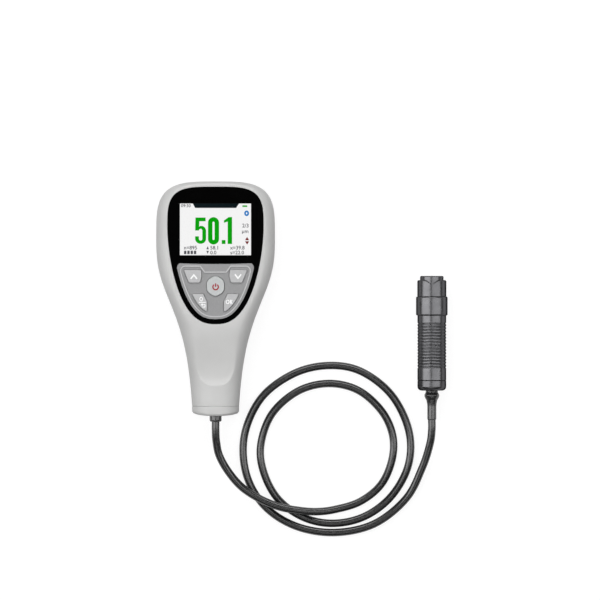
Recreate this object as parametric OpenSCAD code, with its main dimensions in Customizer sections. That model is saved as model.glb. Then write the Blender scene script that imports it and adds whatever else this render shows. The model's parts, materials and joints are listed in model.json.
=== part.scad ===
// Coating thickness gauge with a wired, spring-loaded probe
// The gauge lies on its back: +Z is the display side, +Y the head, +X the side where the probe lies.
// The origin is on the resting plane, under the middle of the gauge.

/* [Housing] */
// Overall length of the gauge
body_len = 150; // [145:1:165]
// Widest width, across the head
head_w = 76; // [72:1:84]
// Width at the end of the handle
handle_w = 29.4; // [28:0.2:34]
// Thickness through the head
body_t = 30; // [29:0.5:34]
// From the widest line of the head to its top
head_arc = 35.5; // [33:0.5:40]
// Height of the line where the two shells part
part_z = 13; // [12:0.5:14]
// Side wall of both shells
wall = 2; // [1.6:0.1:2.4]
// Height of the handle end above the parting line
handle_rise = 14; // [13:0.5:16]
// Drop of the thumb flat below the face of the head
thumb_drop = 5; // [3:0.5:6]
// From the end of the handle to the start of the thumb stop
thumb_stop = 25; // [22:0.5:30]
// Length of the end cap
cap_len = 6.3; // [5:0.1:8]
// Radius of the gently curved end of the cap
cap_curve = 82; // [60:1:120]

/* [Display and keypad] */
// Width of the black fascia
fascia_w = 61.4; // [58:0.2:64]
// Length of the black fascia
fascia_len = 87.7; // [84:0.1:90]
// From the top of the head to the fascia
fascia_gap = 3.5; // [3:0.1:5]
// Thickness of the fascia
fascia_t = 1.6; // [1.2:0.1:2]
// Depth of the fascia below the face of the head
fascia_sink = 0.3; // [0.1:0.1:0.6]
// Thickness of the ledge that carries the fascia
ledge_t = 1.4; // [1:0.1:2]
// Visible width of the display
window_w = 45.4; // [42:0.1:48]
// Visible height of the display
window_h = 33; // [30:0.1:34]
// From the top of the fascia to the display
window_gap = 10.7; // [9:0.1:12]
// Black band left around the keypad
keypad_rim = 3.1; // [2.4:0.1:3.6]
// Black band between the display and the keypad
keypad_gap = 4.8; // [4:0.1:6]
// Hollow of the keypad's top edge
keypad_sag = 0.8; // [0.4:0.1:1.2]
// Height of the key tops above the keypad plate
key_proud = 0.6; // [0.4:0.1:1]
// Gap around each key
key_gap = 0.25; // [0.2:0.05:0.4]
// From the top of the keypad to the centre of the power key
power_drop = 14.9; // [14.4:0.1:15.4]
// Size of the power key across its points
power_key = 13.2; // [12:0.1:13.6]

/* [Electronics] */
// Thickness of the main board
board_t = 1.6; // [1.2:0.2:2]
// Thickness of the display module
lcd_t = 4; // [3.4:0.1:4.6]
// Border of the display module around the visible picture
lcd_border = 1.9; // [1.5:0.1:2]
// Diameter of a battery cell
cell_d = 10.5; // [10:0.1:10.6]
// Length of a battery cell
cell_len = 44.5; // [43:0.1:45]
// Thickness of the battery door
door_t = 2.1; // [1.8:0.1:2.4]
// Diameter of the case screws
case_screw_d = 2.5; // [2:0.1:3]
// Diameter of the board screws
board_screw_d = 2; // [1.6:0.1:2.2]

/* [Cable] */
// Diameter of the probe cable
cable_d = 5; // [4.5:0.1:5.2]
// Diameter of the cable boot at the gauge
boot_d = 7.7; // [7:0.1:9]
// Length of the cable boot outside the gauge
boot_len = 3.7; // [3:0.1:5]

/* [Probe] */
// Side position of the probe axis
probe_x = 138.4; // [130:0.2:150]
// Position of the front of the plunger
tip_y = 14.6; // [10:0.2:20]
// Diameter of the plunger
plunger_d = 15; // [14.4:0.1:15.4]
// How far the plunger stands out of the sleeve
plunger_out = 2.7; // [2.2:0.1:3.2]
// Diameter of the sleeve
sleeve_d = 18.6; // [18.4:0.1:19]
// Length of the sleeve in front of the collar
sleeve_len = 10.4; // [9:0.1:12]
// Width of the V notch that seats the sleeve on round stock
vee_w = 10.4; // [8:0.2:11]
// Depth of the V notch
vee_depth = 3; // [2:0.1:4]
// Diameter of the collar
collar_d = 20.2; // [20:0.1:22]
// Length of the collar
collar_len = 12.3; // [11:0.1:14]
// Diameter of the barrel
barrel_d = 18.4; // [18.2:0.1:18.8]
// Length of the barrel behind the collar
barrel_len = 41.6; // [40:0.1:46]
// Number of grip grooves
groove_count = 15; // [10:1:16]
// Spacing of the grip grooves
groove_pitch = 2; // [1.8:0.05:2.2]
// Depth of the grip grooves
groove_depth = 0.35; // [0.2:0.05:0.45]
// Length of the tail cap
tail_len = 6.4; // [6:0.1:8]
// Wire of the plunger spring
spring_wire = 0.9; // [0.7:0.1:1]
// Free turns of the plunger spring
spring_turns = 6; // [5:1:7]

/* [Hidden] */
$fn = 48;
eps = 0.01;

// Housing stations along the length
y_top = body_len / 2;
y_end = -body_len / 2;
head_y = y_top - head_arc;
cap_y = y_end + cap_len;
stop_y = y_end + thumb_stop;
stop_sag = 8;
stop_half = handle_w * 0.41;
stop_r = 14;
stop_bow = 5;
heel_y = y_end + 17;
heel_z = door_t + 1;
face_wall = fascia_sink + fascia_t + ledge_t;

// Section exponents: the handle is softly crowned, the head and the back are boxier
handle_n = 2.4;
front_n = 4;
back_n = 4;
head_n = 3.7;
crown_n = 8;
head_crown = (body_t - part_z) * 1.15;
back_crown = part_z * 1.23;
taper_mid = 0.455;
taper_n = 2.95;
taper_end = 1 / (1 + pow(1 / taper_mid, taper_n));

// Fascia, display and keypad lines
fascia_top = y_top - fascia_gap;
fascia_bot = fascia_top - fascia_len;
fascia_arc = 26.5;
fascia_mid = fascia_top - fascia_arc;
fascia_up_n = 3.8;
fascia_low_nx = 2.5;
fascia_low_ny = 1.7;
fit = 0.1;
floor_z = body_t - fascia_sink - fascia_t;
ledge_z = floor_z - ledge_t;
win_y = fascia_top - window_gap - window_h / 2;
keypad_top = win_y - window_h / 2 - keypad_gap;
keypad_corner = 3.2;
plate_top = floor_z + fascia_t - 0.1;
panel_top = plate_top - 0.25;
bead_top = plate_top + 0.2;
bead_in = 1.7;
bead_w = 0.7;
key_top = plate_top + key_proud;
key_in = 4;
flange_out = 0.7;
flange_t = 1;
opening_in = 2.4;
power_y = keypad_top - power_drop;
notch_half = 9.7;
notch_base = 6.9;
notch_depth = 6;
arrow_drop = 4.5;
power_slim = 0.9;
power_round = 4;
arrow_h = 8.2;
arrow_half_gap = 8.8;
corner_half_gap = 5.4;
corner_drop = 4.9;
corner_base = 7.9;
corner_clear = 6.1;
corner_slim = 0.65;

// Board and display stack
lcd_top = ledge_z - 0.1;
board_top = lcd_top - lcd_t;
board_z = board_top - board_t;
board_tail = 7.8;
lcd_glass_t = 0.8;
lens_lip = 1.9;
lens_lip_t = 0.7;
mat_t = 1;
pad_top = floor_z - flange_t - 0.9;

// Screw places: case screws join the shells, board screws hold the board to the front shell
case_screw_x = [28.5, 20.5];
case_screw_y = [head_y + 16, fascia_bot + 10.2];
board_screw_x = [17, 10.5];
board_screw_y = [fascia_top - 4.5, fascia_bot - 4.3];
case_screw_hole = 9;
board_screw_hole = 4.6;
post_r = case_screw_d / 2 + 2;
boss_r = board_screw_d / 2 + 1.4;
thread_fit = 0.03;

// Battery bay
cell_gap = 0.3;
cell_z = door_t + 0.3 + cell_d / 2;
cell_x = cell_d / 2 + cell_gap / 2;
bay_half_w = cell_d + cell_gap / 2 + 0.6;
bay_wall = 1.3;
bay_end_gap = 2.8;
bay_y0 = y_end + 16.4;
bay_y1 = bay_y0 + cell_len + 2 * bay_end_gap;
bay_top = cell_z + cell_d / 2 + 0.3;
door_half_w = bay_half_w + 0.3;
door_tongue = 0.8;
door_gap = 0.2;
door_y0 = bay_y0 - 3.8;
door_y1 = bay_y1 - 0.4;

// Probe stations along its axis
probe_z = collar_d / 2;
sleeve_y = tip_y - plunger_out;
collar_y = sleeve_y - sleeve_len;
barrel_y = collar_y - collar_len;
tail_y = barrel_y - barrel_len;
probe_end = tail_y - tail_len;
spigot_r = barrel_d / 2 - 0.35;
joint_y = collar_y - collar_len / 2;
bore_r = spigot_r - 0.85;
plunger_r = plunger_d / 2;
slide_gap = 0.05;
flange_y = joint_y - 0.2;
flange_len = 1.7;
spring_len = 15.6;
seat_y = flange_y - flange_len - spring_len - 0.1;
seat_t = 2.2;
rear_bore_r = bore_r - 1;
coil_front = tip_y - 1.7;
coil_len = 7.9;
cup_r = plunger_r - 1.35;
pole_r = 2;
lead_r = 1.4;

// Cable: a bush in the end cap, a moulded boot on the probe
cable_r = cable_d / 2;
cable_z = 14;
bush_wall = 2.8;
probe_boot_end = probe_end - 18.8;
cable_sides = 10;

// Route of the cable from the gauge bush to the probe boot, laid by hand along the table
cable_pts = [
    [0, -78.7, 14], [0, -84, 14], [0.4, -91, 13.3], [2.3, -100.2, 11.5], [8, -110.5, 9.7],
    [16.6, -120.5, 8.4], [28, -128, 7.9], [40, -133, 7.9], [52, -135.4, 7.5], [64, -136.4, 5],
    [76.5, -135, 2.9], [92.5, -130, 2.6], [106, -119, 2.6], [113, -103, 2.6], [113.3, -87, 2.6],
    [106, -71.5, 2.6], [91, -58.5, 2.6], [72, -54.3, 2.6], [52.5, -59.3, 2.6], [36, -73.8, 2.6],
    [28.8, -94, 2.6], [31, -112, 2.6], [40.5, -129, 2.6], [57, -140.4, 2.6], [76, -143.9, 2.6],
    [96, -139.2, 2.6], [113, -126, 2.6], [123.6, -106, 2.6], [123.6, -84, 2.6], [112.5, -61.5, 2.6],
    [93, -46.5, 2.6], [72, -42.8, 2.6], [50, -48, 2.6], [29.5, -63.2, 2.6], [18.5, -87, 2.6],
    [19.5, -112, 2.6], [31, -132.5, 2.6], [51, -145.6, 2.6], [76, -149.8, 2.6], [101.5, -144.3, 2.6],
    [122, -128, 3], [132.4, -108, 6], [137.2, -93, 9.2], [138.4, -84, 10.1], [138.4, -77.6, 10.1]];
cable_rings = 78;

// Smooth ramp from 0 to 1 between a and b
function ramp(a, b, v) = let(u = max(0, min(1, (v - a) / (b - a)))) u * u * (3 - 2 * u);

// Power that stays real at the ends of a curve
function rise(v, p) = pow(max(v, 0), p);

// Share of the full section that is left towards the top of the head
function head_close(y, inset, n) =
    y <= head_y ? 1 : rise(1 - pow((y - head_y) / (head_arc - inset), n), 1 / n);

// How far the section has swelled from the handle towards the head
function swell(y) = ramp(y_end + 13, fascia_bot + 24, y);

// Share of the head's width that the neck keeps towards the handle
function neck(y) =
    let(t = max(0, (head_y - y) / (head_y - y_end)))
    (1 / (1 + pow(t / taper_mid, taper_n)) - taper_end) / (1 - taper_end);

// Half width of the housing at a station
function half_w(y, inset) =
    ((handle_w + (head_w - handle_w) * neck(y)) / 2 - inset) * head_close(y, inset, head_n);

// Height of the uncut crown above the parting line
function crown_up(y, inset) =
    (handle_rise + (head_crown - handle_rise) * swell(y) - inset) * head_close(y, inset, crown_n);

// Depth of the uncut crown below the parting line
function crown_down(y, inset) = (back_crown - inset) * head_close(y, inset, head_n);

// Line where the thumb stop starts to rise, bowed towards the head at its sides
function stop_line(x, y) =
    stop_y + stop_sag * pow(abs(x) / stop_half, stop_bow) * ramp(stop_y + 14, stop_y, y);

// Height of the face: flat over the head, dipping under the thumb, rising to the thumb stop
function face_z(x, y) =
    body_t - thumb_drop * ramp(fascia_bot + 2, stop_y - 2, y)
    + pow(max(0, stop_line(x, y) - y), 2) / stop_r;

// Height of the back: flat, lifting at the heel so that the battery door can slide out
function back_z(y) = heel_z * ramp(heel_y, heel_y - 10, y);

// Front half of the section at a station, from the right over the face to the left
function front_ring(y, inset, face_in, low_z, side_n, mid_n) =
    let(w = half_w(y, inset),
        c = crown_up(y, inset),
        f = face_z(0, y) - face_in - part_z,
        n = handle_n + (front_n - handle_n) * swell(y),
        edge = max(0.35 * w, w * rise(1 - pow(min(1, f / c), n), 1 / n)),
        last = acos(pow(edge / w, n / 2)),
        side = [for (j = [0:side_n]) let(a = last * j / side_n)
            [w * pow(cos(a), 2 / n), part_z + c * pow(sin(a), 2 / n)]],
        mid = [for (i = [1:mid_n - 1]) let(x = edge * (1 - 2 * i / mid_n))
            [x, part_z + min(face_z(x, y) - face_in - part_z, c * rise(1 - pow(abs(x) / w, n), 1 / n))]],
        arch = concat(side, mid, [for (j = [side_n:-1:0]) [-side[j][0], side[j][1]]]),
        ring = low_z < part_z ? concat([[w, low_z]], arch, [[-w, low_z]]) : arch)
    [for (p = ring) [p[0], y, p[1]]];

// Back half of the section at a station, from the left under the back to the right
function back_ring(y, inset, back_in, high_z, side_n) =
    let(w = half_w(y, inset),
        c = crown_down(y, inset),
        f = part_z - back_z(y) - back_in,
        edge = max(0.3 * w, w * rise(1 - pow(min(1, f / c), back_n), 1 / back_n)),
        last = acos(pow(edge / w, back_n / 2)),
        side = [for (j = [0:side_n]) let(a = last * j / side_n)
            [-w * pow(cos(a), 2 / back_n), part_z - c * pow(sin(a), 2 / back_n)]],
        bowl = concat(side, [for (j = [side_n:-1:0]) [-side[j][0], side[j][1]]]),
        ring = high_z > part_z ? concat([[-w, high_z]], bowl, [[w, high_z]]) : bowl)
    [for (p = ring) [p[0], y, p[1]]];

// Stations over the head, closing towards its top
function head_stations(inset, angles) =
    [for (a = angles) head_y + (head_arc - inset) * pow(sin(a), 2 / head_n)];

// Evenly spaced stations
function run(a, b, n) = [for (i = [0:n]) a + (b - a) * i / n];

fine_angles = [8, 16, 24, 32, 40, 48, 56, 64, 72, 80, 86, 88.5];
coarse_angles = [16, 32, 48, 64, 78, 86];
front_stations = concat([cap_y, (cap_y + stop_y - 8.4) / 2], run(stop_y - 8.4, stop_y, 7),
    [for (y = run(stop_y, head_y, 20)) if (y > stop_y) y], head_stations(0, fine_angles));
back_stations = concat([cap_y], run(heel_y - 9, heel_y, 6),
    [for (y = run(heel_y, head_y, 15)) if (y > heel_y) y], head_stations(0, fine_angles));

// Half width of the fascia below its widest line
function fascia_half(y) =
    let(t = (fascia_mid - y) / (fascia_mid - fascia_bot))
    fascia_w / 2 * rise(1 - pow(max(0, t), fascia_low_ny), 1 / fascia_low_nx);

// Half width of the keypad at a height
function keypad_half(y) = fascia_half(y) - keypad_rim;

// Tangent-smooth point between two points of a route
function glide(p, i, u) =
    let(a = p[max(i - 1, 0)], b = p[i], c = p[i + 1], d = p[min(i + 2, len(p) - 1)])
    b + u / 2 * ((c - a) + u * ((2 * a - 5 * b + 4 * c - d) + u * (3 * b - a - 3 * c + d)));

function unit(v) = v / norm(v);

// Closed solid through a list of equal rings
module loft(rings) {
    n = len(rings[0]);
    m = len(rings);
    polyhedron(
        points = [for (ring = rings) each ring],
        faces = concat(
            [[for (i = [n - 1:-1:0]) i]],
            [for (k = [0:m - 2]) for (i = [0:n - 1]) let(a = k * n + i, b = k * n + (i + 1) % n)
                each [[a, b, b + n], [a, b + n, a + n]]],
            [[for (i = [0:n - 1]) (m - 1) * n + i]]));
}

// Round tube along a list of points, square to the given directions at its two ends
module tube(path, r, sides, dir0, dir1, up = [0, 0, 1]) {
    last = len(path) - 1;
    loft([for (k = [0:last])
        let(t = k == 0 ? dir0 : k == last ? dir1 : unit(path[k + 1] - path[k - 1]),
            s = unit(cross(t, up)),
            v = cross(s, t))
        [for (i = [0:sides - 1]) let(a = 360 * i / sides) path[k] + r * (cos(a) * s - sin(a) * v)]]);
}

// Front half of the housing, filled
module front_form(inset, face_in, low_z, stations, side_n, mid_n) {
    loft([for (y = stations) front_ring(y, inset, face_in, low_z, side_n, mid_n)]);
}

// Back half of the housing, filled
module back_form(inset, back_in, high_z, stations, side_n) {
    loft([for (y = stations) back_ring(y, inset, back_in, high_z, side_n)]);
}

// Whole section of the housing, filled
module handle_form(inset, stations) {
    loft([for (y = stations)
        let(up = front_ring(y, inset, inset, part_z, 8, 6), down = back_ring(y, inset, inset, part_z, 6))
        concat(up, [for (i = [1:len(down) - 2]) down[i]])]);
}

// Copies at both sides
module both_sides() {
    children();
    mirror([1, 0, 0]) children();
}

// Children turned so that their Z runs along the probe
module on_probe() {
    translate([probe_x, 0, probe_z]) rotate([-90, 0, 0]) children();
}

// Outline of the fascia, blunt at the top and egg-shaped below
module fascia_2d() {
    up = 2 / fascia_up_n;
    low_x = 2 / fascia_low_nx;
    low_y = 2 / fascia_low_ny;
    right = concat(
        [for (a = [-84:6:-6]) [fascia_w / 2 * pow(cos(a), low_x),
            fascia_mid - (fascia_mid - fascia_bot) * pow(-sin(a), low_y)]],
        [for (a = [0:6:84]) [fascia_w / 2 * pow(cos(a), up), fascia_mid + fascia_arc * pow(sin(a), up)]]);
    polygon(concat([[0, fascia_bot]], right, [[0, fascia_top]],
        [for (i = [len(right) - 1:-1:0]) [-right[i][0], right[i][1]]]));
}

// Outline of the keypad, set in by the black band and by a further margin
module keypad_2d(margin) {
    r = keypad_corner - margin / 2;
    offset(r = r) offset(delta = -r) intersection() {
        offset(delta = -keypad_rim - margin) fascia_2d();
        translate([-head_w / 2, fascia_bot]) square([head_w, keypad_top - margin - fascia_bot]);
    }
}

// Outer edge of the keypad, its top slightly hollow
module keypad_edge_2d() {
    curve_r = (pow(fascia_w / 2, 2) + pow(keypad_sag, 2)) / (2 * keypad_sag);
    difference() {
        keypad_2d(0);
        translate([0, keypad_top - keypad_sag + curve_r]) circle(r = curve_r, $fn = 720);
    }
}

// Field that the bead encloses, notched at the top between the arrow keys
module keypad_field_2d(grow) {
    offset(delta = grow) difference() {
        keypad_2d(bead_in);
        polygon([[-notch_half, keypad_top], [-notch_half, keypad_top - bead_in],
            [-notch_base, keypad_top - notch_depth], [notch_base, keypad_top - notch_depth],
            [notch_half, keypad_top - bead_in], [notch_half, keypad_top]]);
    }
}

// Outline rounded at its corners
module softened(r) {
    offset(r = r) offset(delta = -r) children();
}

// Left arrow key: its outer side leans with the keypad
module arrow_key_2d() {
    hi = keypad_top - arrow_drop;
    lo = hi - arrow_h;
    softened(0.8) polygon([[-keypad_half(hi) + key_in, hi], [-arrow_half_gap - 0.4, hi],
        [-arrow_half_gap, (hi + lo) / 2], [-arrow_half_gap - 1.2, lo],
        [-keypad_half(lo) + key_in + 1.3, lo]]);
}

// Power key: a soft hexagon standing on its point
module power_key_2d() {
    softened(power_round) translate([0, power_y]) scale([power_slim, 1]) rotate(30)
        circle(d = power_key + power_round / 4, $fn = 6);
}

// Lower left key: bounded by the keypad's curve and by an oval round the power key
module corner_key_2d() {
    softened(0.6) difference() {
        intersection() {
            keypad_2d(key_in);
            translate([-head_w / 2, fascia_bot])
                square([head_w / 2 - corner_half_gap, power_y - corner_drop - fascia_bot]);
        }
        translate([0, power_y]) scale([corner_slim, 1]) circle(r = power_key / 2 + corner_clear);
        translate([-head_w / 2, fascia_bot]) square([head_w / 2, corner_base]);
    }
}

// One key: cap, flange that keeps it in, and a foot on its pad
module key(foot) {
    translate([0, 0, floor_z - flange_t - 0.1]) linear_extrude(flange_t)
        offset(delta = flange_out) children();
    translate([0, 0, floor_z - 0.2]) linear_extrude(key_top - floor_z + 0.2) children();
    translate([foot[0], foot[1], pad_top + 0.1]) cylinder(r = 2, h = floor_z - flange_t - pad_top);
}

arrow_foot = [-14.6, keypad_top - 8.6];
corner_foot = [-9.2, power_y - 10];
power_foot = [0, power_y];

module screw(d, head_r, head_h, length) {
    translate([0, 0, -head_h]) {
        cylinder(d = d, h = head_h + length);
        cylinder(r = head_r, h = head_h);
    }
}

module at_case_screws(z) {
    for (i = [0:1]) both_sides() translate([case_screw_x[i], case_screw_y[i], z]) children();
}

module at_board_screws(z) {
    for (i = [0:1]) both_sides() translate([board_screw_x[i], board_screw_y[i], z]) children();
}

// Front shell: crowned skin with the fascia recess, display and keypad openings, and screw bosses
module front_shell() {
    color("gainsboro") difference() {
        union() {
            difference() {
                front_form(0, 0, part_z, front_stations, 8, 10);
                front_form(wall, face_wall, part_z - 1, concat([cap_y - 1], run(cap_y + 2, head_y, 14),
                    head_stations(wall, coarse_angles)), 5, 6);
            }
            intersection() {
                union() {
                    at_case_screws(part_z) cylinder(r = post_r, h = body_t);
                    at_board_screws(board_top) cylinder(r = boss_r, h = body_t);
                }
                front_form(1, ledge_t / 2 + fascia_t + fascia_sink, part_z - 1,
                    concat(run(cap_y + 2, head_y, 12), head_stations(1, coarse_angles)), 4, 4);
            }
        }
        translate([0, 0, floor_z]) linear_extrude(body_t) offset(delta = fit) fascia_2d();
        translate([-window_w / 2 - 0.7, win_y - window_h / 2 - 0.7, ledge_z - 2])
            cube([window_w + 1.4, window_h + 1.4, body_t]);
        translate([0, 0, ledge_z - 2]) linear_extrude(body_t) keypad_2d(opening_in);
        at_case_screws(part_z - 1) cylinder(d = case_screw_d + 2 * thread_fit, h = case_screw_hole);
        at_board_screws(board_top - 1) cylinder(d = board_screw_d + 2 * thread_fit, h = board_screw_hole);
    }
}

// Rear shell: flat back, screw posts, battery bay and the slideway of the battery door
module rear_shell() {
    slide_z = door_t + door_gap;
    color("gainsboro") difference() {
        union() {
            difference() {
                back_form(0, 0, part_z, back_stations, 6);
                back_form(wall, wall, part_z + 1, concat([cap_y - 1], run(cap_y + 2, head_y, 12),
                    head_stations(wall, coarse_angles)), 5);
            }
            at_case_screws(wall / 2) cylinder(r = post_r, h = part_z - wall / 2);
            translate([-bay_half_w - bay_wall, bay_y0 - bay_wall, wall / 2])
                cube([2 * (bay_half_w + bay_wall), bay_y1 - bay_y0 + 2 * bay_wall,
                    bay_top + bay_wall - wall / 2]);
        }
        translate([-bay_half_w, bay_y0, slide_z - 1])
            cube([2 * bay_half_w, bay_y1 - bay_y0, bay_top - slide_z + 1]);
        translate([-door_half_w - door_gap, y_end - 1, -1])
            cube([2 * (door_half_w + door_gap), door_y1 + door_gap - y_end + 1, slide_z + 1]);
        translate([-door_half_w - door_tongue - door_gap, y_end - 1, slide_z - 1.3])
            cube([2 * (door_half_w + door_tongue + door_gap), door_y1 + door_gap - y_end + 1, 1.2]);
        for (x = [-cell_x, cell_x]) translate([x - 2.4, bay_y1 - 0.7, bay_top - 1])
            cube([4.8, 0.9, bay_wall + 2]);
        at_case_screws(-1) cylinder(r = case_screw_d / 2 + 1.3, h = 3.5);
        at_case_screws(-1) cylinder(d = case_screw_d + 0.3, h = part_z + 2);
    }
}

// End cap: same section as the handle, gently domed, hollow, with a lip inside the shells
module end_cap() {
    color("gainsboro") difference() {
        union() {
            intersection() {
                handle_form(0, run(y_end, cap_y, 3));
                translate([0, y_end + cap_curve, -1]) cylinder(r = cap_curve, h = body_t + 9, $fn = 180);
            }
            handle_form(wall + fit, run(cap_y - 1, cap_y + 2.5, 2));
        }
        handle_form(wall + 1.4, run(y_end + bush_wall, cap_y + 4, 3));
        translate([0, y_end - 1, cable_z]) rotate([-90, 0, 0]) cylinder(r = cable_r + 0.75, h = 9);
    }
}

module fascia() {
    top = floor_z + fascia_t;
    color([0.03, 0.03, 0.03]) difference() {
        translate([0, 0, floor_z]) linear_extrude(fascia_t) fascia_2d();
        translate([0, 0, floor_z - 1]) linear_extrude(fascia_t + 2)
            offset(delta = fit) keypad_edge_2d();
        translate([-window_w / 2, win_y - window_h / 2, floor_z - 1])
            cube([window_w, window_h, top]);
        translate([-window_w / 2 - lens_lip - fit, win_y - window_h / 2 - lens_lip - fit, floor_z - 1])
            cube([window_w + 2 * (lens_lip + fit), window_h + 2 * (lens_lip + fit), lens_lip_t + 1 + fit]);
    }
}

// Clear lens: a lip under the fascia and a raised centre flush with it
module display_window() {
    color([0.8, 0.9, 0.95, 0.3]) {
        translate([-window_w / 2 - lens_lip, win_y - window_h / 2 - lens_lip, floor_z])
            cube([window_w + 2 * lens_lip, window_h + 2 * lens_lip, lens_lip_t]);
        translate([-window_w / 2 + fit, win_y - window_h / 2 + fit, floor_z + lens_lip_t - eps])
            cube([window_w - 2 * fit, window_h - 2 * fit, fascia_t - lens_lip_t - 0.05]);
    }
}

// Keypad plate: raised border, fine bead, sunk field with the key holes
module keypad_plate() {
    color("darkgray") difference() {
        union() {
            translate([0, 0, floor_z]) linear_extrude(plate_top - floor_z) keypad_edge_2d();
            translate([0, 0, floor_z + 0.5]) linear_extrude(bead_top - floor_z - 0.5)
                keypad_field_2d(bead_w / 2);
        }
        translate([0, 0, panel_top]) linear_extrude(fascia_t) keypad_field_2d(-bead_w / 2);
        translate([0, 0, floor_z - 1]) linear_extrude(fascia_t + 3) offset(delta = key_gap) {
            both_sides() arrow_key_2d();
            both_sides() corner_key_2d();
            power_key_2d();
        }
    }
}

module key_up() { color("silver") key(arrow_foot) arrow_key_2d(); }

module key_down() { color("silver") mirror([1, 0, 0]) key(arrow_foot) arrow_key_2d(); }

module key_power() { color("lightgray") key(power_foot) power_key_2d(); }

module key_back() { color("silver") key(corner_foot) corner_key_2d(); }

module key_ok() { color("silver") mirror([1, 0, 0]) key(corner_foot) corner_key_2d(); }

// Silicone mat with a sprung pad under each key
module key_mat() {
    color("dimgray") {
        translate([0, 0, board_top]) linear_extrude(mat_t) keypad_2d(opening_in + 0.8);
        both_sides() for (p = [arrow_foot, corner_foot]) translate([p[0], p[1], board_top + mat_t - eps])
            cylinder(r1 = 3.6, r2 = 2.2, h = pad_top - board_top - mat_t + eps);
        translate([0, power_y, board_top + mat_t - eps])
            cylinder(r1 = 3.6, r2 = 2.2, h = pad_top - board_top - mat_t + eps);
    }
}

// Tray of the display module, open at the front for the glass
module lcd_frame() {
    w = window_w + 2 * lcd_border;
    h = window_h + 2 * lcd_border + 2.2;
    color("lightgray") difference() {
        translate([-w / 2, win_y - h / 2, board_top]) cube([w, h, lcd_t]);
        translate([-w / 2 + 0.8, win_y - h / 2 + 0.8, lcd_top - lcd_glass_t]) cube([w - 1.6, h - 1.6, lcd_t]);
    }
}

module lcd_panel() {
    w = window_w + 2 * lcd_border - 1.8;
    h = window_h + 2 * lcd_border + 0.4;
    color("whitesmoke") translate([-w / 2, win_y - h / 2, lcd_top - lcd_glass_t])
        cube([w, h, lcd_glass_t]);
}

// Main board, narrow at the neck, with holes for its screws
module main_board() {
    top = fascia_top - 1.5;
    knee = case_screw_y[1] + 12;
    low = fascia_bot - board_tail;
    right = [[14, low], [16, knee - 10], [24, knee], [24, top - 6], [20, top]];
    left = [for (i = [len(right) - 1:-1:0]) [-right[i][0], right[i][1]]];
    color("darkgreen") difference() {
        translate([0, 0, board_z]) linear_extrude(board_t) polygon(concat(right, left));
        at_board_screws(board_z - 1) cylinder(d = board_screw_d + 0.2, h = board_t + 2);
    }
}

// Chips under the board: side place, place above the end of the fascia, width, length, height
chips = [[-6, 24.2, 12, 12, 1.4], [-17, 42.2, 6, 8, 1], [-4, 52.2, 9, 9, 1.2], [11, 22.2, 5, 5, 2],
    [-14, 20.2, 4, 5, 1]];

module board_chips() {
    color("black") for (c = chips)
        translate([c[0], fascia_bot + c[1], board_z - c[4]]) cube([c[2], c[3], c[4]]);
}

module buzzer() {
    color("black") translate([12, fascia_bot + 52.5, board_z - 3.2]) difference() {
        cylinder(r = 6, h = 3.2);
        translate([0, 0, -1]) cylinder(r = 1, h = 2.2);
    }
}

// Socket on the board where the lead from the cable ends
lead_end_y = fascia_bot - 4;
socket_w = 9;
socket_len = 7;
socket_h = 4.8;
module lead_connector() {
    color("ivory") translate([-socket_w / 2, lead_end_y, board_z - socket_h])
        cube([socket_w, socket_len, socket_h]);
}

module board_screws() {
    color("silver") at_board_screws(board_z) screw(board_screw_d, 1.9, 1.3, board_t + 3);
}

module case_screws() {
    color("silver") at_case_screws(2.5) screw(case_screw_d, case_screw_d / 2 + 1, 1.7, part_z + 4.5);
}

// One cell, lying along Y, with its button end at the head
module cell() {
    rotate([-90, 0, 0]) {
        cylinder(d = cell_d, h = cell_len - 1);
        translate([0, 0, cell_len - 1 - eps]) cylinder(d = 3.8, h = 1 + eps);
    }
}

module batteries() {
    y0 = bay_y0 + bay_end_gap;
    color("steelblue") {
        translate([cell_x, y0, cell_z]) cell();
        translate([-cell_x, y0 + cell_len, cell_z]) mirror([0, 1, 0]) cell();
    }
}

// Contacts: one bridge at the handle end, two tails that reach up to the board
module battery_contacts() {
    plate_t = 0.4;
    nub = bay_end_gap - plate_t - 0.1;
    color("silver") {
        translate([-cell_x - 4, bay_y0, cell_z - 4]) cube([2 * cell_x + 8, plate_t, 8]);
        for (x = [-cell_x, cell_x]) {
            translate([x, bay_y0 + plate_t - eps, cell_z]) rotate([-90, 0, 0])
                cylinder(r1 = 3, r2 = 1.8, h = nub + eps);
            translate([x - 3.6, bay_y1 - plate_t, cell_z - 4]) cube([7.2, plate_t, 8]);
            translate([x - 2, bay_y1 - plate_t, cell_z]) cube([4, plate_t, board_z - cell_z]);
            translate([x, bay_y1 - plate_t + eps, cell_z]) rotate([90, 0, 0])
                cylinder(r1 = 3, r2 = 1.8, h = nub + eps);
        }
    }
}

// Battery door: slides out past the handle end on its tongues, with grip ribs for the thumb
module battery_door() {
    grip_y = door_y1 - 12;
    color("gainsboro") difference() {
        intersection() {
            union() {
                translate([-door_half_w, door_y0, 0.1])
                    cube([2 * door_half_w, door_y1 - door_y0, door_t - 0.1]);
                translate([-door_half_w - door_tongue, door_y0, door_t - 0.9])
                    cube([2 * (door_half_w + door_tongue), door_y1 - door_y0, 0.8]);
            }
            back_form(0, 0.1, part_z, concat(run(heel_y - 9, heel_y, 4), [y_top - head_arc]), 3);
        }
        for (i = [0:4]) translate([-7, grip_y + 2 * i, -1]) cube([14, 0.9, 1.6]);
    }
}

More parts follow.
